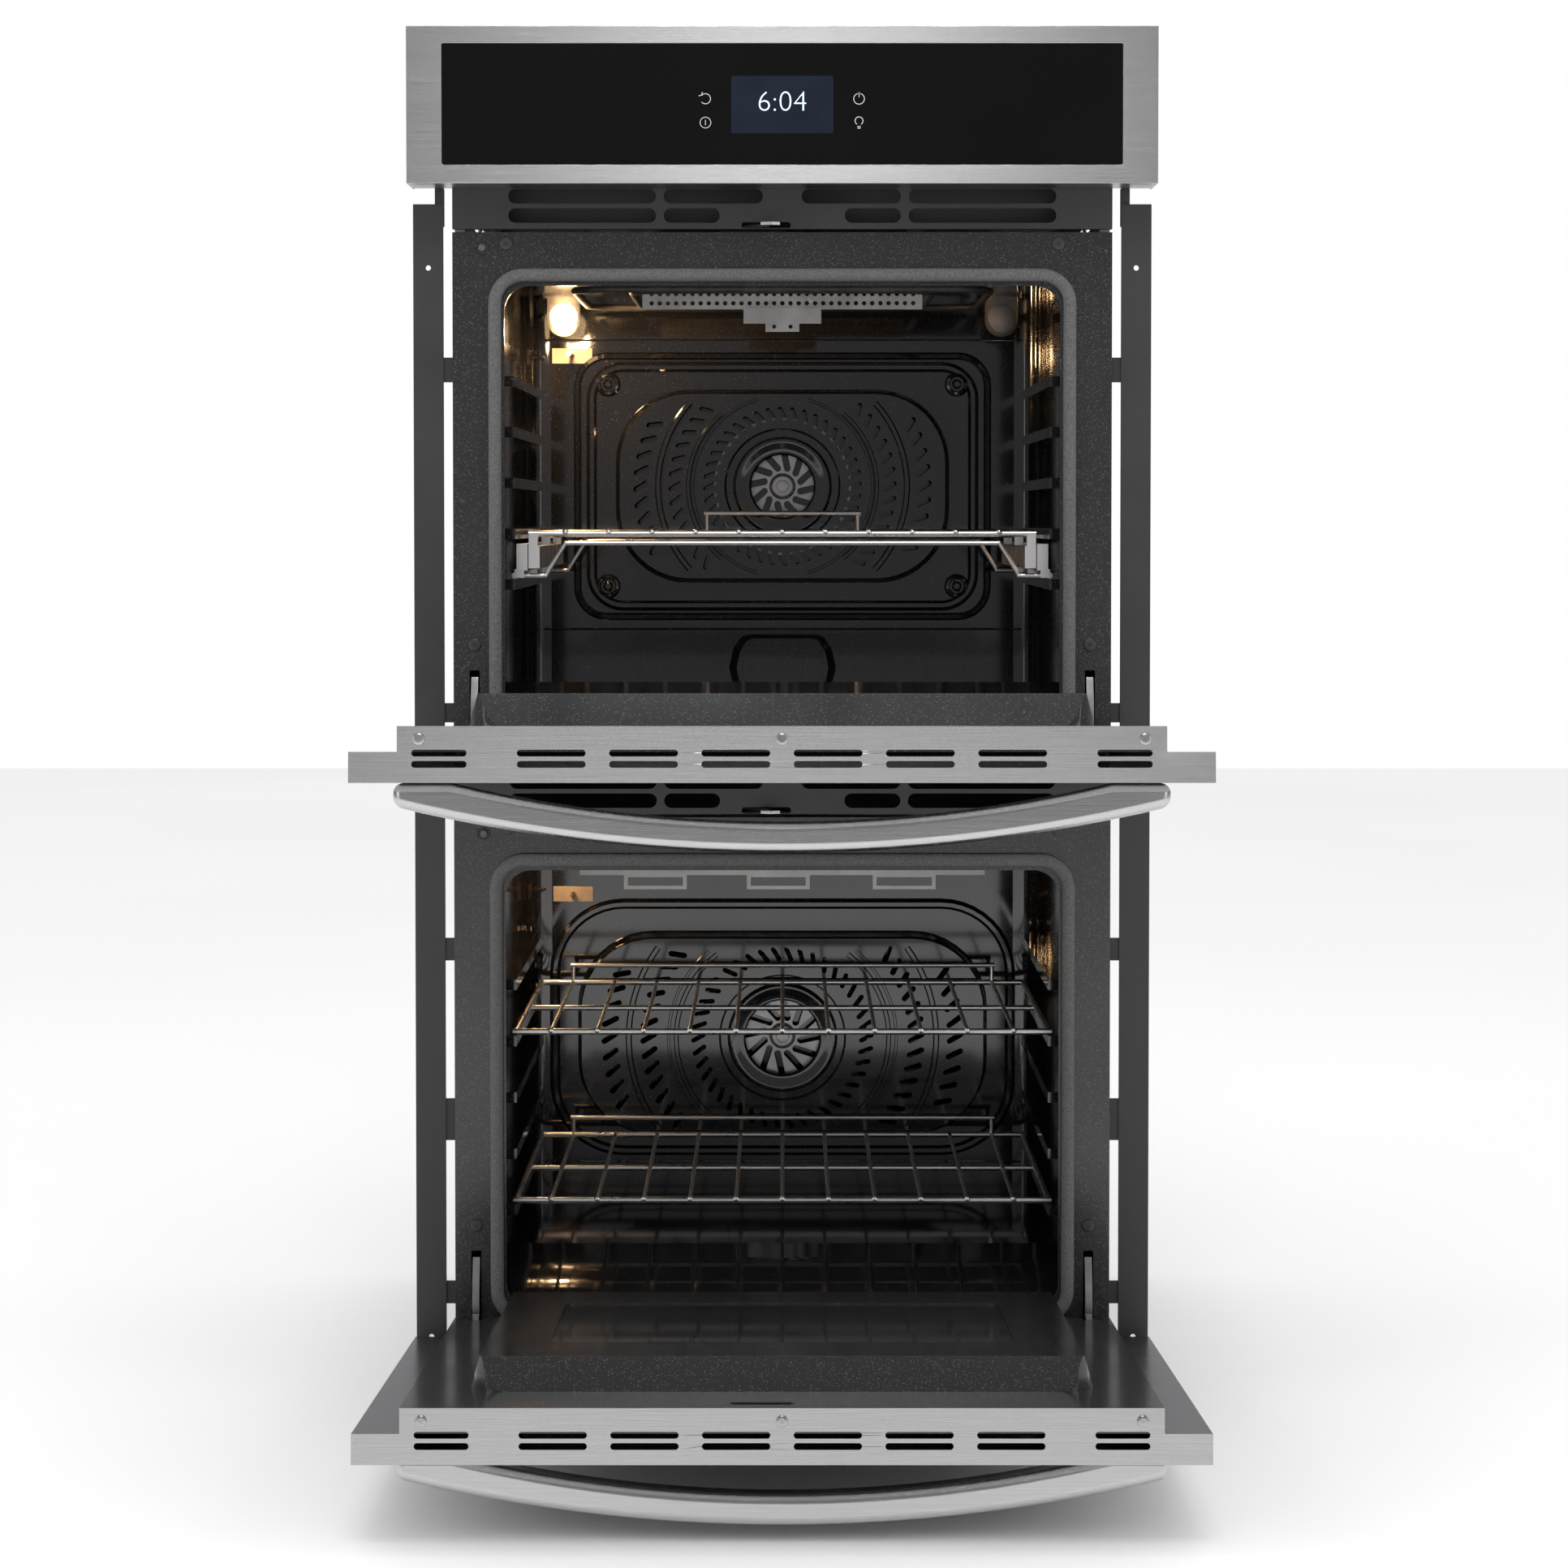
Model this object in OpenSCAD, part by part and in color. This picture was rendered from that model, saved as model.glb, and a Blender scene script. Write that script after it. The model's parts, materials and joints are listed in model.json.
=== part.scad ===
// Double electric wall oven: two cavities with drop-down doors under one control panel.
// +Z is up, -Y is the front, X = 0 is the middle, Y = 0 is the cabinet face, Z = 0 the base.

/* [Whole oven] */
// Width over the doors, control panel and side trims
oven_w = 686; // [684:1:690]
// Width of the sheet steel chassis that goes into the cabinet
chassis_w = 609; // [608:0.5:609]
// Depth of the chassis behind the cabinet face
chassis_d = 588; // [580:1:600]
// Height of the chassis
chassis_h = 1262; // [1260:1:1270]
// Height of one oven unit, from one front frame to the next
oven_pitch = 543.5; // [543:0.5:545]
// Height of the lower front frame's reference line above the base
lower_base = 45.5; // [45:0.5:50]
// Sheet steel thickness
sheet = 1.5; // [1.5:0.1:1.6]

/* [Front frames] */
// Width of the enamelled front frames and vent trims
frame_w = 612; // [611:0.5:613]
// Distance of the front frames ahead of the cabinet face
frame_y = 10; // [10:0.5:11]
// Height of the frame's top edge above its reference line
frame_top = 503.5; // [500:0.5:504]
// Width of the opening in the frame
opening_w = 516; // [510:1:518]
// Lower edge of the opening above the reference line
opening_low = 43; // [40:1:46]
// Upper edge of the opening above the reference line
opening_high = 454; // [450:1:456]

/* [Cavities] */
// Inner width of a cavity
cavity_w = 544; // [540:1:544]
// Depth of a cavity's back wall behind the cabinet face
cavity_back = 473; // [470:1:474]
// Floor of a cavity above the reference line
cavity_floor = 81; // [78:1:84]
// Ceiling of a cavity above the reference line
cavity_ceiling = 469; // [466:1:470]

/* [Doors] */
// Height of the hinge axis above the frame's reference line
hinge_z = 24.7; // [24:0.1:25]
// Distance of the hinge axis ahead of the cabinet face
hinge_y = 33; // [33:0.1:34]
// Door height above the hinge axis
door_up = 508.3; // [500:0.1:509]
// Door height below the hinge axis
door_down = 19; // [18:0.1:19]
// Depth of the outer skin ahead of the hinge axis
skin_front = 31; // [30:0.1:31]
// Distance of the liner's inner face behind the hinge axis
liner_back = 14; // [13:0.1:14]
// Angle of the doors as modelled, where 90 would be level
door_open = 86; // [86:1:88]
// Width of the door window
window_w = 430; // [400:1:450]

/* [Handles] */
// Length of the bowed handle
handle_len = 624; // [600:1:640]
// Distance of the handle's outermost point from the door skin
handle_depth = 56; // [54:1:58]
// Height of the handle bar's section
handle_h = 32; // [28:1:34]

/* [Racks] */
// Outer width of the racks
rack_w = 512; // [508:1:514]
// Depth of the racks from front rod to back rod
rack_d = 383; // [370:1:385]
// Depth of the front rod behind the cabinet face
rack_y = 51; // [50:1:60]

/* [Hidden] */
$fn = 64;
upper_base = lower_base + oven_pitch;
side_x = chassis_w / 2;
inner_x = side_x - sheet;
liner_w = 609.2;
skin_back = 6.4;
strip_w = 28;
trim_top = 1119;
vent_low = 506.5;
vent_high = 545.5;
frame_low = 2.6;
gasket_w = 546;
gasket_low = 27.5;
gasket_high = 470.2;
gasket_t = 8.4;
tube_w = 13;
panel_low = 1132.7;
panel_high = 1276;
panel_y = 64;
glass_w = 621;
glass_low = 1150;
glass_high = 1260;
upper_fan_z = upper_base + 272.3;
lower_fan_z = lower_base + 235.1;
fan_r = 73;
shaft_r = 4;
run_gap = 0.05;
pin_r = 4;
pin_x = 286.3;
slot_x = 286.3;
latch_x = -13;
latch_z = 510;
latch_pivot = [-38, 30];
switch_x = -278;
switch_z = 488.7;
rod_r = 3;
wire_r = 2;
rail_r = 2.7;
guard_r = 2.3;
ledge_in = 20;
upper_ledge = 181;
upper_step = 47.9;
lower_ledge = 130.2;
lower_step = 53.7;
glide_z = upper_base + upper_ledge + rod_r + 0.3;
grid_z = upper_base + 224;
high_rack_z = lower_base + lower_ledge + 3 * lower_step + rod_r + 0.3;
low_rack_z = lower_base + lower_ledge + rod_r + 0.3;
blower = [0, 330, 1165];
inlet_r = 11;

// ---- shared shapes ----

// A box from its lowest to its highest corner
module block(low, high) {
    translate(low)
        cube(high - low);
}

// A rectangle with round corners, about the origin
module round_rect(w, h, r) {
    square([w - 2 * r, h], center = true);
    square([w, h - 2 * r], center = true);
    for (x = [-1, 1], z = [-1, 1])
        translate([x * (w / 2 - r), z * (h / 2 - r)])
            circle(r);
}

// A slot with round ends along X, about the origin
module slot_2d(length, height) {
    square([length - height, height], center = true);
    for (x = [-1, 1])
        translate([x * (length - height) / 2, 0])
            circle(height / 2);
}

// Extrudes a drawing in X and Z backwards from y
module plate(y, thick) {
    translate([0, y + thick, 0])
        rotate([90, 0, 0])
            linear_extrude(thick)
                children();
}

// A round rod between two points on one axis direction
module rod_x(x0, x1, y, z, r) {
    translate([x0, y, z])
        rotate([0, 90, 0])
            cylinder(h = x1 - x0, r = r, $fn = 24);
}

module rod_y(y0, y1, x, z, r) {
    translate([x, y0, z])
        rotate([-90, 0, 0])
            cylinder(h = y1 - y0, r = r, $fn = 24);
}

module rod_z(z0, z1, x, y, r) {
    translate([x, y, z0])
        cylinder(h = z1 - z0, r = r, $fn = 24);
}

// A sloping rod in the X and Z plane with slightly thicker ball ends
module rod_xz(a, b, y, r) {
    run = b - a;
    translate([a.x, y, a.y])
        rotate([0, atan2(run.x, run.y), 0])
            cylinder(h = norm(run), r = r, $fn = 24);
    for (p = [a, b])
        translate([p.x, y, p.y])
            sphere(1.15 * r, $fn = 24);
}

// A closed loop of tube in the X and Y plane with round corners
module tube_loop(w, d, corner, r) {
    for (y = [-1, 1])
        rod_x(-w / 2 + corner, w / 2 - corner, y * d / 2, 0, r);
    for (x = [-1, 1])
        rod_y(-d / 2 + corner, d / 2 - corner, x * w / 2, 0, r);
    for (q = [0:3])
        rotate(90 * q)
            translate([(q % 2 == 0 ? w : d) / 2 - corner, (q % 2 == 0 ? d : w) / 2 - corner, 0])
                rotate_extrude(angle = 90)
                    translate([corner, 0])
                        circle(r, $fn = 24);
}

// A part and its mirror image across the middle
module both_sides() {
    children();
    mirror([1, 0, 0])
        children();
}

// ---- chassis ----

module base_pan() {
    color("lightgray") {
        block([-side_x, -8, 0], [side_x, chassis_d + sheet, sheet]);
        block([-inner_x + 1, -8, 0], [inner_x - 1, -8 + sheet, 5]);
    }
}

module side_panel() {
    color("lightgray")
        difference() {
            union() {
                block([inner_x, 0, sheet], [side_x, chassis_d, chassis_h - sheet]);
                block([inner_x - 8, 0, sheet], [inner_x, sheet, panel_low]);
            }
            for (z = [540, 1115, 1140, 1165, 1190, 1215], y = [150:90:510])
                translate([inner_x - 1, y, z])
                    rotate([90, 0, 90])
                        linear_extrude(sheet + 2)
                            slot_2d(60, 8);
            for (y = [70:70:560])
                translate([inner_x - 1, y, 1248])
                    rotate([0, 90, 0])
                        cylinder(h = sheet + 2, r = 2.5, $fn = 24);
        }
}

module left_side_panel() {
    mirror([1, 0, 0])
        side_panel();
}

module right_side_panel() {
    side_panel();
}

module top_panel() {
    color("lightgray")
        difference() {
            block([-side_x, 0, chassis_h - sheet], [side_x, chassis_d + sheet, chassis_h]);
            for (x = [-180:60:180], y = [420:40:540])
                translate([x, y, chassis_h - 3])
                    linear_extrude(5)
                        slot_2d(44, 9);
        }
}

module back_panel() {
    color("lightgray")
        difference() {
            block([-side_x, chassis_d, sheet], [side_x, chassis_d + sheet, chassis_h - sheet]);
            for (z = [upper_fan_z, lower_fan_z], x = [-60:20:60])
                translate([x, 0, z])
                    plate(chassis_d - 1, sheet + 2)
                        rotate(90)
                            slot_2d(90, 8);
            for (x = [-240:60:60], z = [1110, 1132])
                translate([x, 0, z])
                    plate(chassis_d - 1, sheet + 2)
                        slot_2d(44, 9);
            block([-side_x - 1, chassis_d - 1, 1149.3], [side_x + 1, chassis_d + sheet + 1, 1149.7]);
            block([149.7, chassis_d - 1, 1149.5], [260.3, chassis_d + sheet + 1, chassis_h]);
        }
}

module terminal_box() {
    color("silver")
        difference() {
            block([150, 520, 1150], [260, chassis_d + sheet, chassis_h - sheet - 0.3]);
            block([152, 518, 1152], [258, chassis_d + sheet - 2, chassis_h - sheet - 2.3]);
            translate([205, chassis_d - 5, 1195])
                rotate([-90, 0, 0])
                    cylinder(h = 10, r = inlet_r);
        }
}

// ---- trims and frames ----

module side_trim() {
    color("dimgray") {
        difference() {
            block([oven_w / 2 - strip_w, -3, sheet + 2], [oven_w / 2, 0, trim_top]);
            for (z = [60, 1060])
                translate([oven_w / 2 - 14, 1, z])
                    rotate([90, 0, 0])
                        cylinder(h = 6, r = 2.5);
        }
        for (span = [[91, 112], [245, 284], [414, 435], [637, 655], [954, 977]]) {
            block([frame_w / 2 + 0.4, -1, span[0]], [oven_w / 2 - strip_w + 1, 3, span[1]]);
            block([side_x + 0.1, 0.4, span[0]], [frame_w / 2 + 1, 25, span[1]]);
        }
        block([oven_w / 2 - strip_w, 0, trim_top - 20], [oven_w / 2 - 20, 12, trim_top + 15]);
    }
}

module left_side_trim() {
    mirror([1, 0, 0])
        side_trim();
}

module right_side_trim() {
    side_trim();
}

// A shallow pressed tray from z0 to z1, its back edges on the cabinet face
module pressed_front(z0, z1) {
    difference() {
        block([-frame_w / 2, -frame_y, z0], [frame_w / 2, 0, z1]);
        block([-frame_w / 2 + sheet, -frame_y + sheet, z0 + sheet],
              [frame_w / 2 - sheet, 1, z1 - sheet]);
    }
}

module front_frame(base) {
    mid_z = (opening_low + opening_high) / 2;
    color([0.17, 0.17, 0.17])
        difference() {
            translate([0, 0, base])
                pressed_front(frame_low, frame_top);
            translate([0, 0, base + mid_z])
                plate(-frame_y - 1, sheet + 2)
                    round_rect(opening_w, opening_high - opening_low, 24);
            for (x = [-1, 1])
                translate([x * slot_x, 0, base + 60.2])
                    plate(-frame_y - 1, sheet + 2)
                        square([9.4, 73.6], center = true);
            for (p = [[-286, 120.8], [286, 120.8], [-256, 493], [256, 493]])
                translate([p.x, -frame_y + 2, base + p.y])
                    rotate([90, 0, 0])
                        cylinder(h = 4, r = 2.2);
            translate([switch_x, -frame_y + 2, base + switch_z])
                rotate([90, 0, 0])
                    cylinder(h = 4, r = 6);
        }
}

module upper_front_frame() {
    front_frame(upper_base);
}

module lower_front_frame() {
    front_frame(lower_base);
}

module frame_screws() {
    color("gray")
        for (base = [lower_base, upper_base], x = [-1, 1], p = [[286, 120.8], [256, 493]])
            translate([x * p.x, -frame_y, base + p.y])
                rotate([-90, 0, 0]) {
                    translate([0, 0, -2])
                        cylinder(h = 2, r = 6);
                    cylinder(h = 7, r = 2.1);
                }
}

module vent_trim(base) {
    rows = [[536.8, 185.5, 137], [536.8, 64, 92], [519, 185.5, 137], [519, 84, 52]];
    color([0.22, 0.22, 0.22])
        difference() {
            translate([0, 0, base])
                pressed_front(vent_low, vent_high);
            for (row = rows, side = [-1, 1])
                translate([side * row[1], 0, base + row[0]])
                    plate(-frame_y - 1, sheet + 2)
                        slot_2d(row[2], 13.5);
            translate([latch_x - 2, 0, base + latch_z])
                plate(-frame_y - 1, sheet + 2)
                    slot_2d(46, 6);
        }
}

module upper_vent_trim() {
    vent_trim(upper_base);
}

module lower_vent_trim() {
    vent_trim(lower_base);
}

module bottom_trim() {
    color([0.2, 0.2, 0.2])
        pressed_front(6, lower_base + 0.5);
}

module gasket(base) {
    h = gasket_high - gasket_low;
    color([0.4, 0.4, 0.4])
        translate([0, 0, base + (gasket_low + gasket_high) / 2])
            plate(-frame_y - gasket_t, gasket_t)
                difference() {
                    round_rect(gasket_w, h, 33);
                    round_rect(gasket_w - 2 * tube_w, h - 2 * tube_w, 20);
                }
}

module upper_gasket() {
    gasket(upper_base);
}

module lower_gasket() {
    gasket(lower_base);
}

// ---- cavities ----

// The inside of a cavity, grown on every side by g
module cavity_space(g, front) {
    x = cavity_w / 2 + g;
    back = cavity_back + g;
    corner = 28 + g;
    low = opening_low + 5 - g;
    intersection() {
        translate([-x, 0, 0])
            rotate([90, 0, 90])
                linear_extrude(2 * x)
                    polygon([[front, low], [40, low], [111, cavity_floor - g],
                             [back, cavity_floor - g], [back, cavity_ceiling + g],
                             [front, cavity_ceiling + g]]);
        linear_extrude(600) {
            translate([-x, front - 1])
                square([2 * x, back - corner - front + 1]);
            translate([-x + corner, front])
                square([2 * (x - corner), back - front]);
            for (side = [-1, 1])
                translate([side * (x - corner), back - corner])
                    circle(corner);
        }
    }
}

// Five pairs of rack ledges pressed into the side walls
module ledges(first, step) {
    for (i = [0:4])
        both_sides()
            block([cavity_w / 2 - ledge_in, 45, first + i * step - 10],
                  [cavity_w / 2 + 1, cavity_back - 20, first + i * step]);
}

module cavity(base, first, step, fan_z) {
    flange = -frame_y + sheet;
    color([0.15, 0.15, 0.19])
        difference() {
            translate([0, 0, base]) {
                difference() {
                    union() {
                        cavity_space(sheet, flange);
                        block([-278, flange, 30], [278, flange + sheet, 474]);
                    }
                    difference() {
                        cavity_space(0, flange - 1);
                        ledges(first, step);
                    }
                }
            }
            translate([0, cavity_back - 2, fan_z])
                rotate([-90, 0, 0])
                    cylinder(h = 6, r = 12);
        }
}

module upper_cavity() {
    cavity(upper_base, upper_ledge, upper_step, upper_fan_z);
}

module lower_cavity() {
    cavity(lower_base, lower_ledge, lower_step, lower_fan_z);
}

module insulation() {
    color("khaki")
        for (unit = [[lower_base, lower_fan_z], [upper_base, upper_fan_z]])
            difference() {
                block([-301, 70, unit[0] + 20], [301, cavity_back + 25, unit[0] + 496]);
                block([-275.5, 69, unit[0] + 40], [275.5, cavity_back + 2, unit[0] + 472]);
                translate([0, cavity_back, unit[1]])
                    rotate([-90, 0, 0])
                        cylinder(h = 30, r = 20);
            }
}

module mid_duct() {
    low = lower_base + 500;
    high = upper_base + 14;
    color("lightgray")
        difference() {
            block([-296, 60, low], [296, 560, high]);
            block([-295, 59, low + 1], [295, 561, high - 1]);
        }
}

// ---- convection ----

// A dished cover over the fan: flange, deep edge and a slotted flat face
module fan_cover(half_w, half_h, fan_z) {
    back = cavity_back;
    face = back - 33;
    color([0.2, 0.2, 0.24])
        translate([0, 0, fan_z])
            difference() {
                union() {
                    plate(back - sheet, sheet)
                        round_rect(2 * half_w + 56, 2 * half_h + 52, 25);
                    plate(face, 33)
                        round_rect(2 * half_w, 2 * half_h, 75);
                }
                plate(face + sheet, 40)
                    round_rect(2 * (half_w - sheet), 2 * (half_h - sheet), 75 - sheet);
                plate(face - 1, 4)
                    circle(33);
                for (i = [0:11])
                    plate(face - 1, 4)
                        rotate(30 * i)
                            translate([76, 0])
                                square([18, 22], center = true);
                for (i = [0:5], side = [0, 180])
                    plate(face - 1, 4)
                        rotate(side - 40 + 16 * i)
                            translate([112, 0])
                                square([17, 18], center = true);
                for (x = [-1, 1])
                    translate([x * (half_w + 12), back - 3, 0])
                        rotate([-90, 0, 0])
                            cylinder(h = 6, r = 2.5);
            }
}

module upper_fan_cover() {
    fan_cover(174, 100, upper_fan_z);
}

module lower_fan_cover() {
    fan_cover(214, 106, lower_fan_z);
}

module fan(fan_z) {
    front = cavity_back - 27;
    color("silver")
        translate([0, 0, fan_z]) {
            translate([0, front + 16, 0])
                rotate([-90, 0, 0])
                    cylinder(h = 1.5, r = fan_r);
            translate([0, front, 0])
                rotate([-90, 0, 0])
                    cylinder(h = 17, r = 15);
            translate([0, front - 4, 0])
                rotate([-90, 0, 0])
                    cylinder(h = 5, r = 8, $fn = 6);
            for (i = [0:11])
                rotate([0, 30 * i, 0])
                    block([14, front + 1, -0.8], [fan_r - 1, front + 17, 0.8]);
            rod_y(front + 16, cavity_back + 42, 0, 0, shaft_r);
        }
}

module upper_fan() {
    fan(upper_fan_z);
}

module lower_fan() {
    fan(lower_fan_z);
}

module fan_motors() {
    start = cavity_back + 27;
    color("slategray")
        for (z = [lower_fan_z, upper_fan_z])
            difference() {
                union() {
                    translate([0, start, z])
                        rotate([-90, 0, 0])
                            cylinder(h = 55, r = 42);
                    block([-90, start - 1.8, z - 25], [90, start + 0.5, z + 25]);
                }
                translate([0, start - 3, z])
                    rotate([-90, 0, 0])
                        cylinder(h = 25, r = shaft_r + run_gap);
            }
}

module ring_elements() {
    color("dimgray")
        for (z = [lower_fan_z, upper_fan_z])
            translate([0, cavity_back - 12, z])
                rotate([90, 0, 0])
                    rotate_extrude()
                        translate([86, 0])
                            circle(3.5, $fn = 24);
}

// ---- heat, light and sensing ----

module broil_elements() {
    color("dimgray")
        for (base = [lower_base, upper_base])
            translate([0, 245, base + cavity_ceiling - 12])
                for (size = [[400, 320, 40], [290, 280, 40]])
                    tube_loop(size[0], size[1], size[2], 3.5);
}

module broil_bracket() {
    top = upper_base + cavity_ceiling;
    color("lightgray")
        difference() {
            union() {
                block([-137, 184, top - 26], [137, 185.5, top - 4.2]);
                block([-137, 184, top - 5.7], [137, 200, top - 4.2]);
                block([-38, 182.5, top - 40], [38, 184, top - 24]);
                block([-16.5, 182.5, top - 48], [16.5, 184, top - 38]);
                for (x = [-90, 90])
                    block([x - 8, 188, top - 5.7], [x + 8, 199, top]);
            }
            for (x = [-128:8:128], z = [-11, -20])
                translate([x, 186, top + z])
                    rotate([90, 0, 0])
                        cylinder(h = 3, r = 2.2, $fn = 16);
            for (x = [-8, 8])
                translate([x, 186, top - 43])
                    rotate([90, 0, 0])
                        cylinder(h = 6, r = 2, $fn = 16);
        }
}

module broil_reflector() {
    top = lower_base + cavity_ceiling;
    color("whitesmoke") {
        block([-199.5, 184, top - 38], [199.5, 186, top - 32]);
        for (x = [-190, 190])
            block([x - 4, 184, top - 33], [x + 4, 186, top]);
        for (x = [-125, -4, 120])
            translate([x, 184, top - 38])
                difference() {
                    block([-31, 0, -14], [31, 2, 1]);
                    block([-27, -1, -10], [27, 3, -2]);
                }
    }
}

module bake_elements() {
    color("dimgray")
        for (base = [lower_base, upper_base])
            translate([0, 280, base + cavity_floor - 20])
                for (size = [[460, 320, 45], [300, 280, 45]])
                    tube_loop(size[0], size[1], size[2], 3.5);
}

module oven_lamps() {
    color("lightyellow")
        for (base = [lower_base, upper_base], x = [-226, 226])
            translate([x, 386, base + cavity_ceiling]) {
                translate([0, 0, -26])
                    cylinder(h = 26, r = 17);
                translate([0, 0, -26])
                    sphere(17, $fn = 48);
                translate([0, 0, -3])
                    cylinder(h = 3, r = 21);
            }
}

module temperature_sensors() {
    color("silver")
        for (p = [[-222, lower_base + 384], [-222, upper_base + 410]]) {
            block([p.x - 21, cavity_back - 2, p.y - 8], [p.x + 21, cavity_back, p.y + 8]);
            rod_y(cavity_back - 60, cavity_back - 1, p.x, p.y, 2.5);
        }
}

// ---- racks ----

// A flat grid of front-to-back wires on three cross rods, middle at height z
module grid(half_w, z, wires, pitch) {
    back = rack_y + rack_d;
    for (y = [rack_y, back])
        rod_x(-half_w, half_w, y, z, rod_r);
    rod_x(-half_w + 4.5, half_w - 4.5, rack_y + 190, z - wire_r, rail_r);
    for (i = [0:wires - 1])
        rod_y(rack_y, back, (i - (wires - 1) / 2) * pitch, z + 0.5, wire_r);
    both_sides()
        rod_y(rack_y, back, half_w - rod_r, z, rail_r);
}

// Raised guard along the back rod
module rack_guard(half, z, rise) {
    back = rack_y + rack_d;
    rod_x(-half - rod_r, half + rod_r, back, z + rise, rail_r);
    for (x = [-half, half])
        rod_z(z, z + rise, x, back, guard_r);
}

module plain_rack(z) {
    color("silver") {
        grid(rack_w / 2, z, 11, 44);
        rack_guard(220, z, 18);
        rod_x(-133, 133, rack_y + 16, z - wire_r, rail_r);
    }
}

module high_rack() {
    plain_rack(high_rack_z);
}

module low_rack() {
    plain_rack(low_rack_z);
}

module glide_frame() {
    back = rack_y + rack_d;
    color("silver") {
        both_sides() {
            rod_y(rack_y, back - 6, rack_w / 2 - rod_r, glide_z, rod_r);
            block([240.5, 44, glide_z + 5], [251, back - 6, glide_z + 30]);
            for (y = [rack_y, 240, back - 12])
                block([244, y - 5, glide_z - 2], [rack_w / 2 - rod_r, y + 5, glide_z + 6]);
        }
        for (y = [rack_y, back - 12]) {
            both_sides() {
                rod_x(224, rack_w / 2 - rod_r, y, glide_z, guard_r);
                rod_xz([224, glide_z], [205, grid_z - 9], y, guard_r);
            }
            rod_x(-205, 205, y, grid_z - 9, guard_r);
        }
    }
}

module upper_rack() {
    color("silver") {
        grid(240, grid_z, 11, 41);
        rack_guard(79, grid_z, 20);
        both_sides() {
            block([229, 42, glide_z + 7], [239.5, rack_y + rack_d - 4, glide_z + 28]);
            for (y = [rack_y, 240, rack_y + rack_d - 10])
                block([231, y - 6, glide_z + 27], [239.5, y + 6, grid_z]);
        }
    }
}

// ---- hinges, latches and switches ----

// Fixed hinge arm that reaches out through the frame slot to the door's pin
module hinge_bracket() {
    translate([pin_x - 3.3, -hinge_y, hinge_z])
        rotate([90, 0, 90])
            linear_extrude(6.6)
                difference() {
                    union() {
                        circle(9);
                        polygon([[0, -9], [10, -5], [24.5, 0], [95, 0], [95, 66], [24.5, 66],
                                 [16, 40], [15, 14], [0, 9]]);
                    }
                    circle(pin_r + run_gap);
                }
}

module hinge_brackets(base) {
    color("silver")
        translate([0, 0, base])
            both_sides() {
                hinge_bracket();
                block([pin_x - 3.3, 30, hinge_z + 10], [inner_x, 60, hinge_z + 13]);
            }
}

module upper_hinge_brackets() {
    hinge_brackets(upper_base);
}

module lower_hinge_brackets() {
    hinge_brackets(lower_base);
}

// Hook that swings sideways about an upright pivot to lock the door
module latch(base) {
    color("whitesmoke")
        translate([0, 0, base + latch_z - 1.5])
            difference() {
                union() {
                    translate(latch_pivot)
                        cylinder(h = 3, r = 9);
                    linear_extrude(3)
                        polygon([[latch_pivot.x - 8, latch_pivot.y - 3], [-20, -4], [-20, -32],
                                 [-10, -36], [-2, -32], [-2, -26], [-12, -26], [-12, 0],
                                 [latch_pivot.x + 6, latch_pivot.y + 6]]);
                }
                translate([latch_pivot.x, latch_pivot.y, -1])
                    cylinder(h = 5, r = pin_r + run_gap);
            }
}

module upper_latch() {
    latch(upper_base);
}

module lower_latch() {
    latch(lower_base);
}

module switch_pin(base) {
    color("gainsboro")
        rod_y(-18.6, 14, switch_x, base + switch_z, 3);
}

module upper_switch_pin() {
    switch_pin(upper_base);
}

module lower_switch_pin() {
    switch_pin(lower_base);
}

// Fixed bodies of the door switches and of the latch pivots
module switch_bodies() {
    color([0.12, 0.12, 0.12])
        for (base = [lower_base, upper_base]) {
            translate([switch_x, 0, base + switch_z])
                difference() {
                    union() {
                        block([-12, -4, -12], [12, 30, 12]);
                        translate([0, -frame_y + sheet + 0.1, 0])
                            rotate([-90, 0, 0])
                                cylinder(h = 6, r = 13);
                    }
                    translate([0, -12, 0])
                        rotate([-90, 0, 0])
                            cylinder(h = 33, r = 3 + run_gap);
                }
            translate([latch_pivot.x, latch_pivot.y, base + latch_z])
                cylinder(h = 14, r = pin_r);
            translate([latch_pivot.x, latch_pivot.y, base + latch_z - 6])
                cylinder(h = 10, r = pin_r);
            block([latch_pivot.x - 20, 18, base + latch_z - 8.5],
                  [latch_pivot.x + 40, 50, base + latch_z - 3]);
        }
}

// ---- doors ----

// Puts a part that is drawn about the hinge axis of a shut door where the door stands
module on_door(base) {
    translate([0, -hinge_y, base + hinge_z])
        rotate([door_open, 0, 0])
            children();
}

module door_skin(base) {
    window_mid = 265;
    skin_x = oven_w / 2;
    cap_x = liner_w / 2;
    color("lightgray")
        on_door(base)
            difference() {
                union() {
                    difference() {
                        block([-skin_x, -skin_front, -door_down], [skin_x, -skin_back, door_up]);
                        block([-skin_x + sheet, -skin_front + sheet, -door_down + sheet],
                              [skin_x - sheet, 0, door_up - sheet]);
                    }
                    block([-cap_x, -skin_back - 1, door_up - sheet], [cap_x, liner_back, door_up]);
                    for (x = [-skin_x, cap_x - 5.6])
                        block([x, -skin_back - sheet, -door_down],
                              [x + skin_x - cap_x + 5.6, -skin_back, door_up]);
                }
                translate([0, 0, window_mid])
                    plate(-skin_front - 1, 4)
                        round_rect(window_w, 270, 12);
                for (y = [-7.4, -16.3], side = [-1, 1])
                    for (bay = [[36.5, 54.4], [109.4, 54.4], [182.4, 54.4], [271.2, 43.7]])
                        translate([side * bay[0], y, door_up - 4])
                            linear_extrude(6)
                                slot_2d(bay[1], 5.4);
            }
}

module upper_door_skin() {
    door_skin(upper_base);
}

module lower_door_skin() {
    door_skin(lower_base);
}

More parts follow.
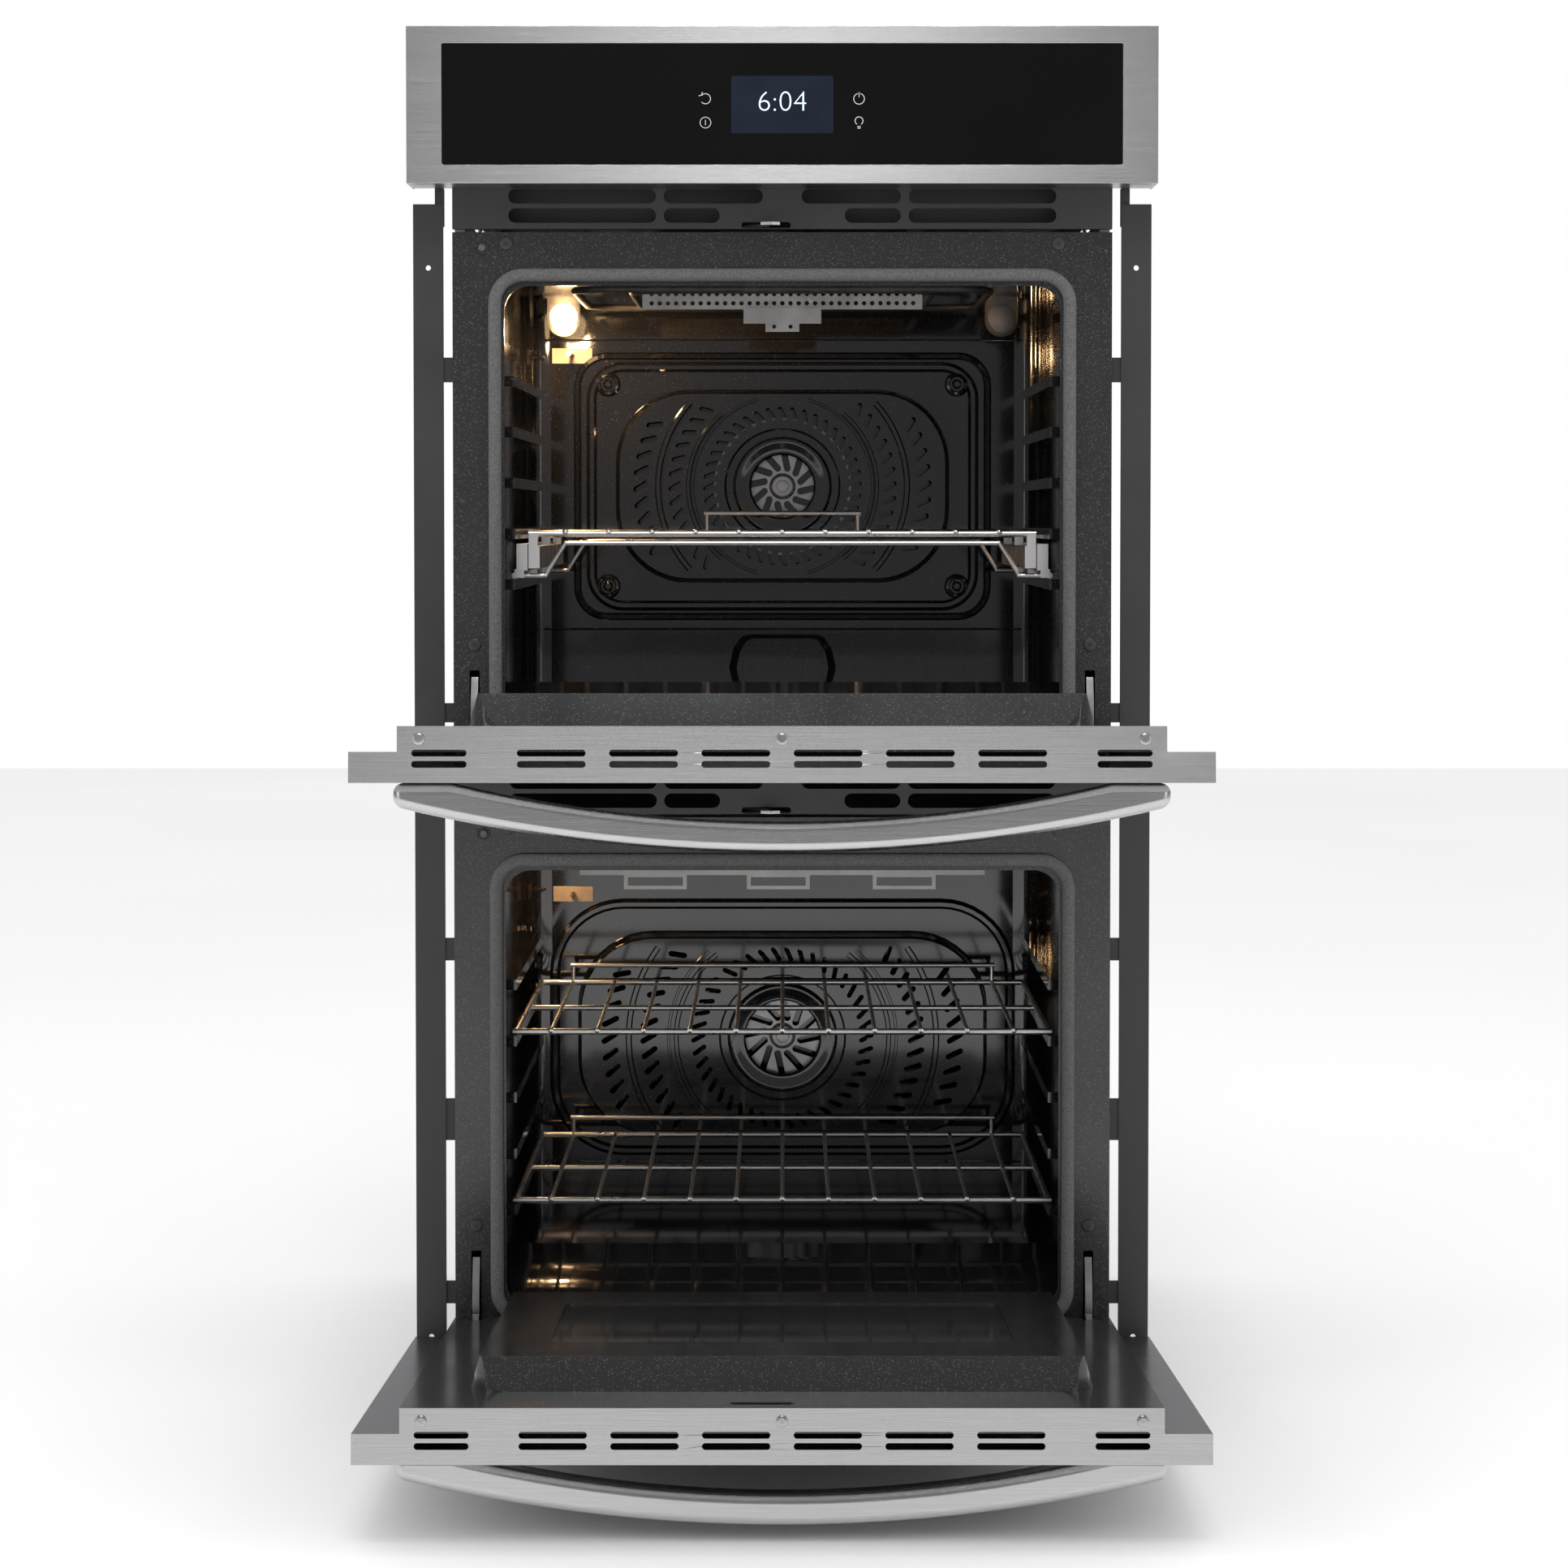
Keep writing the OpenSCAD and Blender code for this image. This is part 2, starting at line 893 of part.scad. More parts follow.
// The raised middle of the liner: a block with sloping sides, shrunk by g
module raised_middle(g) {
    rise = 28;
    slope = 8;
    z0 = 22.3 + g;
    z1 = 428.3 - g;
    x = 256 - g;
    y0 = liner_back - 2;
    y1 = liner_back + rise - g;
    intersection() {
        translate([0, 0, (z0 + z1) / 2])
            plate(y0 - 1, y1 - y0 + 2)
                round_rect(2 * x, z1 - z0, 30 - g);
        translate([-x, 0, 0])
            rotate([90, 0, 90])
                linear_extrude(2 * x)
                    polygon([[y0, z0], [liner_back, z0], [y1, z0 + slope], [y1, z1 - slope],
                             [liner_back, z1], [y0, z1]]);
        translate([0, 0, z0])
            linear_extrude(z1 - z0)
                polygon([[-x, y0], [x, y0], [x, liner_back], [x - slope, y1],
                         [-x + slope, y1], [-x, liner_back]]);
    }
}

module door_liner(base) {
    cap_x = liner_w / 2;
    top = door_up - sheet - 0.3;
    front = -skin_back;
    color([0.17, 0.17, 0.17])
        on_door(base)
            difference() {
                union() {
                    block([-cap_x, front, -door_down], [cap_x, liner_back, top]);
                    raised_middle(0);
                }
                difference() {
                    union() {
                        block([-cap_x + sheet, front - 1, -door_down + sheet],
                              [cap_x - sheet, liner_back - sheet, top - sheet]);
                        raised_middle(sheet);
                    }
                    block([-cap_x, -sheet, -door_down], [cap_x, 20, -3 + sheet]);
                }
                block([-cap_x - 1, 0, -door_down - 1], [cap_x + 1, liner_back + 1, -3]);
                for (x = [-1, 1])
                    translate([x * slot_x, 0, 0])
                        block([-11.7, -12, -door_down - 1], [11.7, liner_back + 1, 17]);
                translate([0, 0, 225])
                    plate(liner_back + 20, 10)
                        round_rect(390, 240, 12);
                translate([latch_x - 3, 0, latch_z - hinge_z])
                    plate(liner_back - 4, 6)
                        slot_2d(52, 12);
            }
}

module upper_door_liner() {
    door_liner(upper_base);
}

module lower_door_liner() {
    door_liner(lower_base);
}

module door_window(base) {
    color([0.08, 0.08, 0.09])
        on_door(base)
            translate([0, 0, 265])
                plate(-skin_front + sheet, 4)
                    round_rect(window_w + 30, 300, 8);
}

module upper_door_window() {
    door_window(upper_base);
}

module lower_door_window() {
    door_window(lower_base);
}

module door_inner_glass(base) {
    color([0.2, 0.2, 0.22])
        on_door(base)
            translate([0, 0, 225])
                plate(liner_back + 28 - sheet - 4, 4)
                    round_rect(420, 270, 8);
}

module upper_door_inner_glass() {
    door_inner_glass(upper_base);
}

module lower_door_inner_glass() {
    door_inner_glass(lower_base);
}

// A bowed bar whose ends run down to the door skin
module door_handle(base) {
    grip = 31;
    inner_half = 265;
    outer_r = (handle_len * handle_len / 4 + 37 * 37) / (2 * 37);
    inner_r = (inner_half * inner_half + grip * grip) / (2 * grip);
    color("lightgray")
        on_door(base)
            translate([0, -skin_front, door_up - 55 - handle_h / 2])
                linear_extrude(handle_h)
                    difference() {
                        intersection() {
                            translate([0, -handle_depth + outer_r])
                                circle(outer_r, $fn = 720);
                            translate([-handle_len / 2, -handle_depth - 1])
                                square([handle_len, handle_depth + 1]);
                        }
                        translate([0, -grip + inner_r])
                            circle(inner_r, $fn = 720);
                    }
}

module upper_door_handle() {
    door_handle(upper_base);
}

module lower_door_handle() {
    door_handle(lower_base);
}

// The pins and the cheeks inside the door that hold them
module door_hinge_pins(base) {
    color("silver")
        on_door(base)
            both_sides() {
                rod_x(275, 297.6, 0, 0, pin_r);
                for (x = [275, 293.6]) {
                    block([x, -24, 0], [x + 4, liner_back - sheet, 60]);
                    rod_x(x, x + 4, 0, 0, 11);
                }
                block([275, -24, 40], [297.6, -20, 60]);
            }
}

module upper_door_hinge_pins() {
    door_hinge_pins(upper_base);
}

module lower_door_hinge_pins() {
    door_hinge_pins(lower_base);
}

// ---- control panel and blower ----

module control_panel() {
    x = oven_w / 2;
    color("lightgray")
        difference() {
            block([-x, -panel_y, panel_low], [x, -2, panel_high]);
            block([-x + sheet, -panel_y + sheet, panel_low + sheet],
                  [x - sheet, 0, panel_high - sheet]);
            block([-x + sheet, -12, panel_low - 1], [x - sheet, 0, panel_low + 3]);
            block([-glass_w / 2, -panel_y - 1, glass_low], [glass_w / 2, -panel_y + 3, glass_high]);
        }
}

module control_glass() {
    color([0.06, 0.06, 0.06]) {
        block([-glass_w / 2 + 0.5, -panel_y - 0.4, glass_low + 0.5],
              [glass_w / 2 - 0.5, -panel_y + sheet, glass_high - 0.5]);
        block([-glass_w / 2 - 8, -panel_y + sheet, glass_low - 8],
              [glass_w / 2 + 8, -panel_y + sheet + 3, glass_high + 8]);
    }
}

module control_board() {
    color("seagreen") {
        block([-130, -50, 1160], [130, -48.4, 1250]);
        block([-50, -58.5, 1174], [50, -50, 1234]);
        for (x = [-120, 120], z = [1168, 1242])
            rod_y(-panel_y + sheet + 3, -50, x, z, 4);
    }
}

// A round bar along X about the origin
module round_x(x0, x1, r) {
    translate([x0, 0, 0])
        rotate([0, 90, 0])
            cylinder(h = x1 - x0, r = r);
}

module blower_housing() {
    color("lightgray")
        translate(blower)
            difference() {
                union() {
                    block([-125, -60, -52], [125, 60, 52]);
                    round_x(125, 180, 34);
                }
                block([-123.5, -58.5, -50.5], [123.5, 58.5, 50.5]);
                block([-110, -61, -46], [110, -58, -10]);
                block([-110, 58, 6], [110, 61, 46]);
                round_x(-126, 150, shaft_r + run_gap);
            }
}

module blower_wheel() {
    color("silver")
        translate(blower) {
            round_x(-127, 145, shaft_r);
            for (x = [-110, -1, 108])
                round_x(x, x + 2, 38);
            for (i = [0:15])
                rotate([22.5 * i, 0, 0])
                    block([-110, 28, -0.6], [110, 37, 0.6]);
        }
}

base_pan();
left_side_panel();
right_side_panel();
top_panel();
back_panel();
bottom_trim();
left_side_trim();
right_side_trim();
upper_front_frame();
lower_front_frame();
upper_gasket();
lower_gasket();
upper_vent_trim();
lower_vent_trim();
upper_cavity();
lower_cavity();
insulation();
mid_duct();
upper_fan_cover();
lower_fan_cover();
upper_fan();
lower_fan();
fan_motors();
ring_elements();
broil_elements();
broil_bracket();
broil_reflector();
bake_elements();
oven_lamps();
temperature_sensors();
upper_hinge_brackets();
lower_hinge_brackets();
upper_latch();
lower_latch();
upper_switch_pin();
lower_switch_pin();
switch_bodies();
glide_frame();
upper_rack();
high_rack();
low_rack();
control_panel();
control_glass();
control_board();
blower_housing();
blower_wheel();
terminal_box();
frame_screws();
upper_door_skin();
upper_door_liner();
upper_door_window();
upper_door_inner_glass();
upper_door_handle();
upper_door_hinge_pins();
lower_door_skin();
lower_door_liner();
lower_door_window();
lower_door_inner_glass();
lower_door_handle();
lower_door_hinge_pins();
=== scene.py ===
# %% [markdown]
# # A double wall oven, doors open
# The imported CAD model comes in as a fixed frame. Everything made here sits in that same frame, in metres,
# and each piece rides on the CAD body that it belongs to, so doors, racks and fans still move.

# %% Load the frame
import json
import math

import bmesh
import bpy
from mathutils import Matrix, Vector

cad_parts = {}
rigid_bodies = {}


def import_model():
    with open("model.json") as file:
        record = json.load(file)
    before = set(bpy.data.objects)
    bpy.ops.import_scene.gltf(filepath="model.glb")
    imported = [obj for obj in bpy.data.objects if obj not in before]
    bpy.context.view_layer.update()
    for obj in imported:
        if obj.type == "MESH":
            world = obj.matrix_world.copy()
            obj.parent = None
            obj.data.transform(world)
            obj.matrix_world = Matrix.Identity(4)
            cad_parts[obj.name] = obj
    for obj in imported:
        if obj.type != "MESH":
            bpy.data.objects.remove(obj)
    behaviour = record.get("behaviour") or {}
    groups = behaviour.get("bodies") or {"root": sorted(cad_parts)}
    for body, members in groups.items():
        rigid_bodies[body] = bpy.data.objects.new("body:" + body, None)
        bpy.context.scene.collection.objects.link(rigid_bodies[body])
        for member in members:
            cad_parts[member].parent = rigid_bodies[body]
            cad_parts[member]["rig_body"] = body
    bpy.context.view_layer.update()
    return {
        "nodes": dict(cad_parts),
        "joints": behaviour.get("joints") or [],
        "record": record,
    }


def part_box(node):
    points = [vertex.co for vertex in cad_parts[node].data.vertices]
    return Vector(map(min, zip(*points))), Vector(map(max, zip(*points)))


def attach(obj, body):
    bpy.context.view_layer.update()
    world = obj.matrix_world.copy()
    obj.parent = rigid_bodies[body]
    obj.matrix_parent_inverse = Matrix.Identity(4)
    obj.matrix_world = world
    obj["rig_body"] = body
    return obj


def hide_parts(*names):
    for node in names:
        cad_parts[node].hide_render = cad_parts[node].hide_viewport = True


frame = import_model()
cad = frame["nodes"]

# %% [markdown]
# ## Places taken from the frame
# Sizes are written in millimetres, as on a drawing. The two ovens are alike and stand one above the
# other, so most heights are measured from the floor of an oven. Those floors, the door hinges and the fan
# axes could be typed in again, but here they are read from the frame's joints, so that every piece
# follows the CAD.

# %% Ovens, hinges and fans
TO_METRES = 0.001
HINGE_RISE = 24.7
joint_of = {joint["child"]: joint for joint in frame["joints"]}


def joint_place(body):
    return [round(value / TO_METRES, 3) for value in joint_of[body]["pos_m"]]


ovens = {name: joint_place(name + "_door")[2] - HINGE_RISE for name in ("upper", "lower")}
fan_axis = {name: joint_place(name + "_fan")[2] for name in ovens}
print("oven floors:", ovens, "fan axes:", fan_axis)

# %% [markdown]
# ## Finishing a piece
# Every mesh is scaled to metres once, when it is finished. Edges sharper than a set angle are marked
# sharp, so that flat sheet metal shades flat and bends shade round. Weighted normals then keep the wide
# faces even, which a plain smooth shading would not do next to a narrow bevel.

# %% Finish a mesh as a piece
def finish_piece(bm, name, body, material, replaced=(), sharp=32):
    bmesh.ops.scale(bm, vec=(TO_METRES, TO_METRES, TO_METRES), verts=bm.verts)
    for face in bm.faces:
        face.smooth = True
    for edge in bm.edges:
        edge.smooth = len(edge.link_faces) == 2 and edge.calc_face_angle(0) < math.radians(sharp)
    mesh = bpy.data.meshes.new(name)
    bm.to_mesh(mesh)
    bm.free()
    piece = bpy.data.objects.new(name, mesh)
    bpy.context.scene.collection.objects.link(piece)
    mesh.materials.append(material)
    even = piece.modifiers.new("even_normals", "WEIGHTED_NORMAL")
    even.keep_sharp, even.weight = True, 100
    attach(piece, body)
    if replaced:
        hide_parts(*replaced)
    triangles = sum(len(p.vertices) - 2 for p in mesh.polygons)
    print(name, "on", body, "triangles:", triangles)


# %% [markdown]
# Sheet metal is never knife sharp. `soften` copies a CAD node, merges its loose triangles, joins the flat
# ones into whole faces, and bevels the sharp edges by a fraction of a millimetre, so that they catch the
# light.

# %% Soften the edges of a CAD node
SAME_POINT = 0.005
SAME_FACE, REAL_EDGE = math.radians(1), math.radians(40)


def soften(node, width, segments=2, material=None):
    bm = bmesh.new()
    bm.from_mesh(cad[node].data)
    bmesh.ops.scale(bm, vec=(1 / TO_METRES, 1 / TO_METRES, 1 / TO_METRES), verts=bm.verts)
    bmesh.ops.remove_doubles(bm, verts=bm.verts, dist=SAME_POINT)
    bmesh.ops.dissolve_degenerate(bm, dist=SAME_POINT, edges=bm.edges)
    bmesh.ops.dissolve_limit(bm, angle_limit=SAME_FACE, verts=bm.verts, edges=bm.edges)
    edges = [e for e in bm.edges if len(e.link_faces) == 2 and e.calc_face_angle(0) > REAL_EDGE]
    bmesh.ops.bevel(bm, geom=edges, offset=width, segments=segments, profile=0.5, affect="EDGES",
                    clamp_overlap=True, material=-1)
    finish_piece(bm, "soft_" + node, cad[node]["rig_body"],
                 material or finish_of[slot_of[node]], [node])


# %% [markdown]
# ## Outlines and plates
# A pressed part starts as an outline. These helpers give the points of a rounded rectangle, a slot or a
# circle by a formula, and turn them into a loop of edges. A curve object could do it too, but plain loops
# can be bridged and filled by the operators that follow.

# %% Outlines
def rounded(cx, cz, width, height, radius, steps=6, turn=0.0):
    points = []
    for quarter, (sx, sz) in enumerate(((1, 1), (-1, 1), (-1, -1), (1, -1))):
        for step in range(steps + 1):
            angle = math.radians(90 * quarter + 90 * step / steps)
            x = sx * (width / 2 - radius) + radius * math.cos(angle)
            z = sz * (height / 2 - radius) + radius * math.sin(angle)
            points.append((cx + x * math.cos(turn) - z * math.sin(turn),
                           cz + x * math.sin(turn) + z * math.cos(turn)))
    return points


def loop(bm, points, y):
    verts = [bm.verts.new((x, y, z)) for x, z in points]
    return [bm.edges.new((verts[i - 1], verts[i])) for i in range(len(verts))]


def circle(cx, cz, radius, steps=24):
    turns = [2 * math.pi * k / steps for k in range(steps)]
    return [(cx + radius * math.cos(turn), cz + radius * math.sin(turn)) for turn in turns]


# %% [markdown]
# A plate is filled between its outline and the outlines of its holes, then pulled back to give it
# thickness. A wall bridges one outline to the next at another depth. Cutting holes with booleans would
# also work, but it leaves ragged meshes where many slots stand close together.

# %% Plates with holes, and walls between outlines
def plate(bm, outer, holes, front, back, edge_round=0.0):
    edges = loop(bm, outer, front)
    for hole in holes:
        edges += loop(bm, hole, front)
    made = bmesh.ops.triangle_fill(bm, use_beauty=True, use_dissolve=False, edges=edges, normal=(0, -1, 0))
    faces = [g for g in made["geom"] if isinstance(g, bmesh.types.BMFace)]
    grown = bmesh.ops.extrude_face_region(bm, geom=faces)["geom"]
    verts = [g for g in grown if isinstance(g, bmesh.types.BMVert)]
    bmesh.ops.translate(bm, vec=(0, back - front, 0), verts=verts)
    shell = set(faces) | {f for v in verts for f in v.link_faces}
    bmesh.ops.recalc_face_normals(bm, faces=list(shell))
    if edge_round:
        bmesh.ops.bevel(bm, geom=edges, offset=edge_round, segments=2, profile=0.5, affect="EDGES",
                        clamp_overlap=True, material=-1)


def wall(bm, stations):
    rings = [loop(bm, points, y) for points, y in stations]
    made = []
    for near, far in zip(rings, rings[1:]):
        made += bmesh.ops.bridge_loops(bm, edges=near + far)["faces"]
    return rings, made


# %% [markdown]
# Wires, gaskets and heating rods are tubes along a path of straight legs and bends. The ring of the
# section is drawn once; each leg pulls it along, and each bend spins it about the bend's own centre.

# %% Tubes
def tube(bm, start, heading, legs, radius, sides=10, closed=False):
    heading = Vector(heading).normalized()
    turn_to = heading.to_track_quat("Z", "Y").to_matrix().to_4x4()
    ring = bmesh.ops.create_circle(bm, cap_ends=False, segments=sides, radius=radius,
                                   matrix=Matrix.Translation(start) @ turn_to)["verts"]
    first = list({e for v in ring for e in v.link_edges})
    edges, place = first, Vector(start)
    for leg in legs:
        if leg[0] == "go":
            grown = bmesh.ops.extrude_edge_only(bm, edges=edges)["geom"]
            verts = [g for g in grown if isinstance(g, bmesh.types.BMVert)]
            bmesh.ops.translate(bm, vec=heading * leg[1], verts=verts)
            place += heading * leg[1]
            edges = [g for g in grown if isinstance(g, bmesh.types.BMEdge)
                     and all(v in verts for v in g.verts)]
        else:
            bend, axis, angle, steps = leg[1:]
            axis = Vector(axis).normalized()
            side = axis.cross(heading) * bend
            spun = bmesh.ops.spin(bm, geom=edges, cent=place + side, axis=axis, angle=math.radians(angle),
                                  steps=steps, use_duplicate=False)["geom_last"]
            edges = [g for g in spun if isinstance(g, bmesh.types.BMEdge)]
            turn = Matrix.Rotation(math.radians(angle), 3, axis)
            place = place + side + turn @ (-side)
            heading = turn @ heading
    if closed:
        rims = list({v for e in first + edges for v in e.verts})
        bmesh.ops.remove_doubles(bm, verts=rims, dist=0.05)
    else:
        bmesh.ops.edgeloop_fill(bm, edges=first)
        bmesh.ops.edgeloop_fill(bm, edges=edges)


# %% [markdown]
# ## Effects that several finishes share
# Each effect is a node group: it reads the object's own coordinates and puts out masks, tones and
# heights. A material then places the group with its own values, and its Principled shader stays in the
# material.

# %% Build a node group
def new_group(name, inputs, outputs):
    tree = bpy.data.node_groups.new(name, "ShaderNodeTree")
    for label, value in inputs:
        kind = "NodeSocketColor" if isinstance(value, tuple) else "NodeSocketFloat"
        socket = tree.interface.new_socket(name=label, in_out="INPUT", socket_type=kind)
        socket.default_value = value
    for label, kind in outputs:
        tree.interface.new_socket(name=label, in_out="OUTPUT", socket_type="NodeSocket" + kind)
    return tree, tree.nodes.new("NodeGroupInput"), tree.nodes.new("NodeGroupOutput")


def add(tree, kind, settings=None, **inputs):
    node = tree.nodes.new("ShaderNode" + kind)
    for key, value in (settings or {}).items():
        setattr(node, key, value)
    for key, value in inputs.items():
        socket = node.inputs[int(key[1:])] if key[1:].isdigit() else node.inputs[key.replace("_", " ")]
        if isinstance(value, bpy.types.NodeSocket):
            tree.links.new(value, socket)
        else:
            socket.default_value = value
    return node


# %% [markdown]
# Brushed steel carries thousands of fine scratches in one direction. Real scratches would be far too many
# to model, so a noise is squeezed across the grain and left long along it, and a broad noise makes some
# places a little duller than others.

# %% Stretched grain, for brushed metal
grain_group, g_in, g_out = new_group(
    "brushed grain",
    [("Along", 16.0), ("Across", 1400.0), ("Low Tone", (0.3, 0.3, 0.3, 1)),
     ("High Tone", (0.6, 0.6, 0.6, 1)), ("Low Roughness", 0.25), ("High Roughness", 0.4)],
    [("Color", "Color"), ("Roughness", "Float"), ("Height", "Float")])
where = add(grain_group, "TexCoord").outputs["Object"]
scale = add(grain_group, "CombineXYZ", X=g_in.outputs["Along"], Y=g_in.outputs["Across"],
            Z=g_in.outputs["Across"])
stretched = add(grain_group, "VectorMath", {"operation": "MULTIPLY"}, i0=where, i1=scale.outputs[0])
fine = add(grain_group, "TexNoise", Vector=stretched.outputs[0], Scale=1.0, Detail=4.0, Roughness=0.65)
broad = add(grain_group, "TexNoise", Vector=where, Scale=3.0, Detail=3.0)
blend = add(grain_group, "MapRange", Value=fine.outputs["Fac"], i1=0.3, i2=0.7)
tone = add(grain_group, "MixRGB", Fac=blend.outputs[0], Color1=g_in.outputs["Low Tone"],
           Color2=g_in.outputs["High Tone"])
both = add(grain_group, "Math", {"operation": "MULTIPLY_ADD"}, i0=broad.outputs["Fac"], i1=0.5,
           i2=add(grain_group, "Math", {"operation": "MULTIPLY"}, i0=blend.outputs[0], i1=0.5).outputs[0])
rough = add(grain_group, "MapRange", Value=both.outputs[0], i1=0.0, i2=1.0,
            i3=g_in.outputs["Low Roughness"], i4=g_in.outputs["High Roughness"])
grain_group.links.new(tone.outputs[0], g_out.inputs["Color"])
grain_group.links.new(rough.outputs[0], g_out.inputs["Roughness"])
grain_group.links.new(blend.outputs[0], g_out.inputs["Height"])
print("group:", grain_group.name)

# %% [markdown]
# Oven enamel is black glass with pale flecks fired into it. Each cell of a Voronoi pattern is a place
# where a fleck may be, and only some cells are chosen, by their random colour. A faint noise gives the
# fired surface its slight ripple.

# %% Speckle, for graniteware enamel
speckle_group, g_in, g_out = new_group(
    "enamel speckle",
    [("Scale", 900.0), ("Amount", 0.25), ("Ground", (0.02, 0.02, 0.02, 1)), ("Fleck", (0.3, 0.3, 0.3, 1)),
     ("Low Roughness", 0.15), ("High Roughness", 0.3)],
    [("Color", "Color"), ("Roughness", "Float"), ("Height", "Float")])
where = add(speckle_group, "TexCoord").outputs["Object"]
cells = add(speckle_group, "TexVoronoi", Vector=where, Scale=g_in.outputs["Scale"])
chosen = add(speckle_group, "SeparateColor", Color=cells.outputs["Color"])
keep = add(speckle_group, "Math", {"operation": "LESS_THAN"}, i0=chosen.outputs[0],
           i1=g_in.outputs["Amount"])
near = add(speckle_group, "MapRange", Value=cells.outputs["Distance"], i1=0.25, i2=0.45, i3=1.0, i4=0.0)
dots = add(speckle_group, "Math", {"operation": "MULTIPLY"}, i0=keep.outputs[0], i1=near.outputs[0])
cloud = add(speckle_group, "TexNoise", Vector=where, Scale=9.0, Detail=4.0)
spots = add(speckle_group, "MixRGB", Fac=dots.outputs[0], Color1=g_in.outputs["Ground"],
            Color2=g_in.outputs["Fleck"])
rough = add(speckle_group, "MapRange", Value=cloud.outputs["Fac"], i1=0.3, i2=0.7,
            i3=g_in.outputs["Low Roughness"], i4=g_in.outputs["High Roughness"])
peel = add(speckle_group, "TexNoise", Vector=where, Scale=260.0, Detail=1.0)
speckle_group.links.new(spots.outputs[0], g_out.inputs["Color"])
speckle_group.links.new(rough.outputs[0], g_out.inputs["Roughness"])
speckle_group.links.new(peel.outputs["Fac"], g_out.inputs["Height"])
print("group:", speckle_group.name)

# %% [markdown]
# Paint, plastic and plating look plain, but they are never one flat tone. A large soft noise moves the
# tone and the gloss between two near values, and a fine one gives a height for the bump.

# %% Clouded tone, for paint, plastic and plating
cloud_group, g_in, g_out = new_group(
    "clouded tone",
    [("Scale", 12.0), ("Fine Scale", 600.0), ("Low Tone", (0.2, 0.2, 0.2, 1)),
     ("High Tone", (0.25, 0.25, 0.25, 1)), ("Low Roughness", 0.4), ("High Roughness", 0.5)],
    [("Color", "Color"), ("Roughness", "Float"), ("Height", "Float")])
where = add(cloud_group, "TexCoord").outputs["Object"]
large = add(cloud_group, "TexNoise", Vector=where, Scale=g_in.outputs["Scale"], Detail=5.0)
small = add(cloud_group, "TexNoise", Vector=where, Scale=g_in.outputs["Fine Scale"], Detail=2.0)
spread = add(cloud_group, "MapRange", Value=large.outputs["Fac"], i1=0.3, i2=0.7)
tone = add(cloud_group, "MixRGB", Fac=spread.outputs[0], Color1=g_in.outputs["Low Tone"],
           Color2=g_in.outputs["High Tone"])
rough = add(cloud_group, "MapRange", Value=spread.outputs[0], i1=0.0, i2=1.0,
            i3=g_in.outputs["Low Roughness"], i4=g_in.outputs["High Roughness"])
cloud_group.links.new(tone.outputs[0], g_out.inputs["Color"])
cloud_group.links.new(rough.outputs[0], g_out.inputs["Roughness"])
cloud_group.links.new(small.outputs["Fac"], g_out.inputs["Height"])
print("group:", cloud_group.name)


# %% [markdown]
# ## Finishes
# One helper makes a material: it places a group, feeds its colour and roughness to the Principled shader,
# and turns its height into a faint bump. What is the same all over a surface is set on the shader itself.

# %% Make a finish from a group
def grey(value, warm=0.0):
    return (value * (1 + warm), value, value * (1 - warm), 1)


def finish(name, group, values, bump=0.05, depth=0.0002, **shader):
    made = bpy.data.materials.new(name)
    made.use_nodes = True
    tree = made.node_tree
    surface = tree.nodes["Principled BSDF"]
    effect = tree.nodes.new("ShaderNodeGroup")
    effect.node_tree = group
    for label, value in values.items():
        effect.inputs[label].default_value = value
    tree.links.new(effect.outputs["Color"], surface.inputs["Base Color"])
    tree.links.new(effect.outputs["Roughness"], surface.inputs["Roughness"])
    dents = add(tree, "Bump", Height=effect.outputs["Height"], Strength=bump, Distance=depth)
    tree.links.new(dents.outputs[0], surface.inputs["Normal"])
    for key, value in shader.items():
        surface.inputs[key.replace("_", " ")].default_value = value
    return made


def tones(low, high, rough_low, rough_high, warm=0.0, **more):
    return {"Low Tone": grey(low, warm), "High Tone": grey(high, warm), "Low Roughness": rough_low,
            "High Roughness": rough_high, **more}


def enamel(ground, fleck, amount, rough_low, rough_high):
    return {"Ground": ground, "Fleck": fleck, "Amount": amount, "Low Roughness": rough_low,
            "High Roughness": rough_high, "Scale": 900.0}


# %% [markdown]
# The front is brushed stainless steel, the case is galvanised sheet, and the racks are bright plated
# wire. All are metals, so their colour comes from what they mirror, and only tone, gloss and grain differ
# between them.

# %% Bare and plated metals
finish_of = {}
finish_of["stainless"] = finish("stainless_brushed", grain_group, tones(0.44, 0.53, 0.22, 0.29), bump=0.1,
                                Metallic=1.0)
finish_of["handle_steel"] = finish("handle_steel", grain_group, tones(0.48, 0.6, 0.22, 0.3), bump=0.06,
                                   Metallic=1.0)
finish_of["galvanised"] = finish("galvanised_spangle", cloud_group,
                                 tones(0.36, 0.52, 0.32, 0.5, Scale=60.0), bump=0.05, Metallic=1.0)
finish_of["rack_chrome"] = finish("rack_chrome", cloud_group,
                                  tones(0.85, 0.95, 0.26, 0.36, warm=0.02, Scale=30.0), bump=0.03,
                                  Metallic=1.0)
finish_of["plated_steel"] = finish("plated_steel", cloud_group,
                                   tones(0.42, 0.55, 0.25, 0.4, warm=0.04, Scale=50.0), Metallic=1.0)
finish_of["fan_aluminium"] = finish("fan_aluminium", cloud_group,
                                    tones(0.5, 0.62, 0.3, 0.45, Scale=40.0), Metallic=1.0)
finish_of["latch_steel"] = finish("latch_steel", grain_group, tones(0.4, 0.5, 0.3, 0.4), Metallic=1.0)
finish_of["element_sheath"] = finish("element_sheath", cloud_group,
                                     tones(0.05, 0.1, 0.5, 0.7, warm=0.05, Scale=90.0), bump=0.2,
                                     Metallic=0.6)
print("metals:", sorted(finish_of))

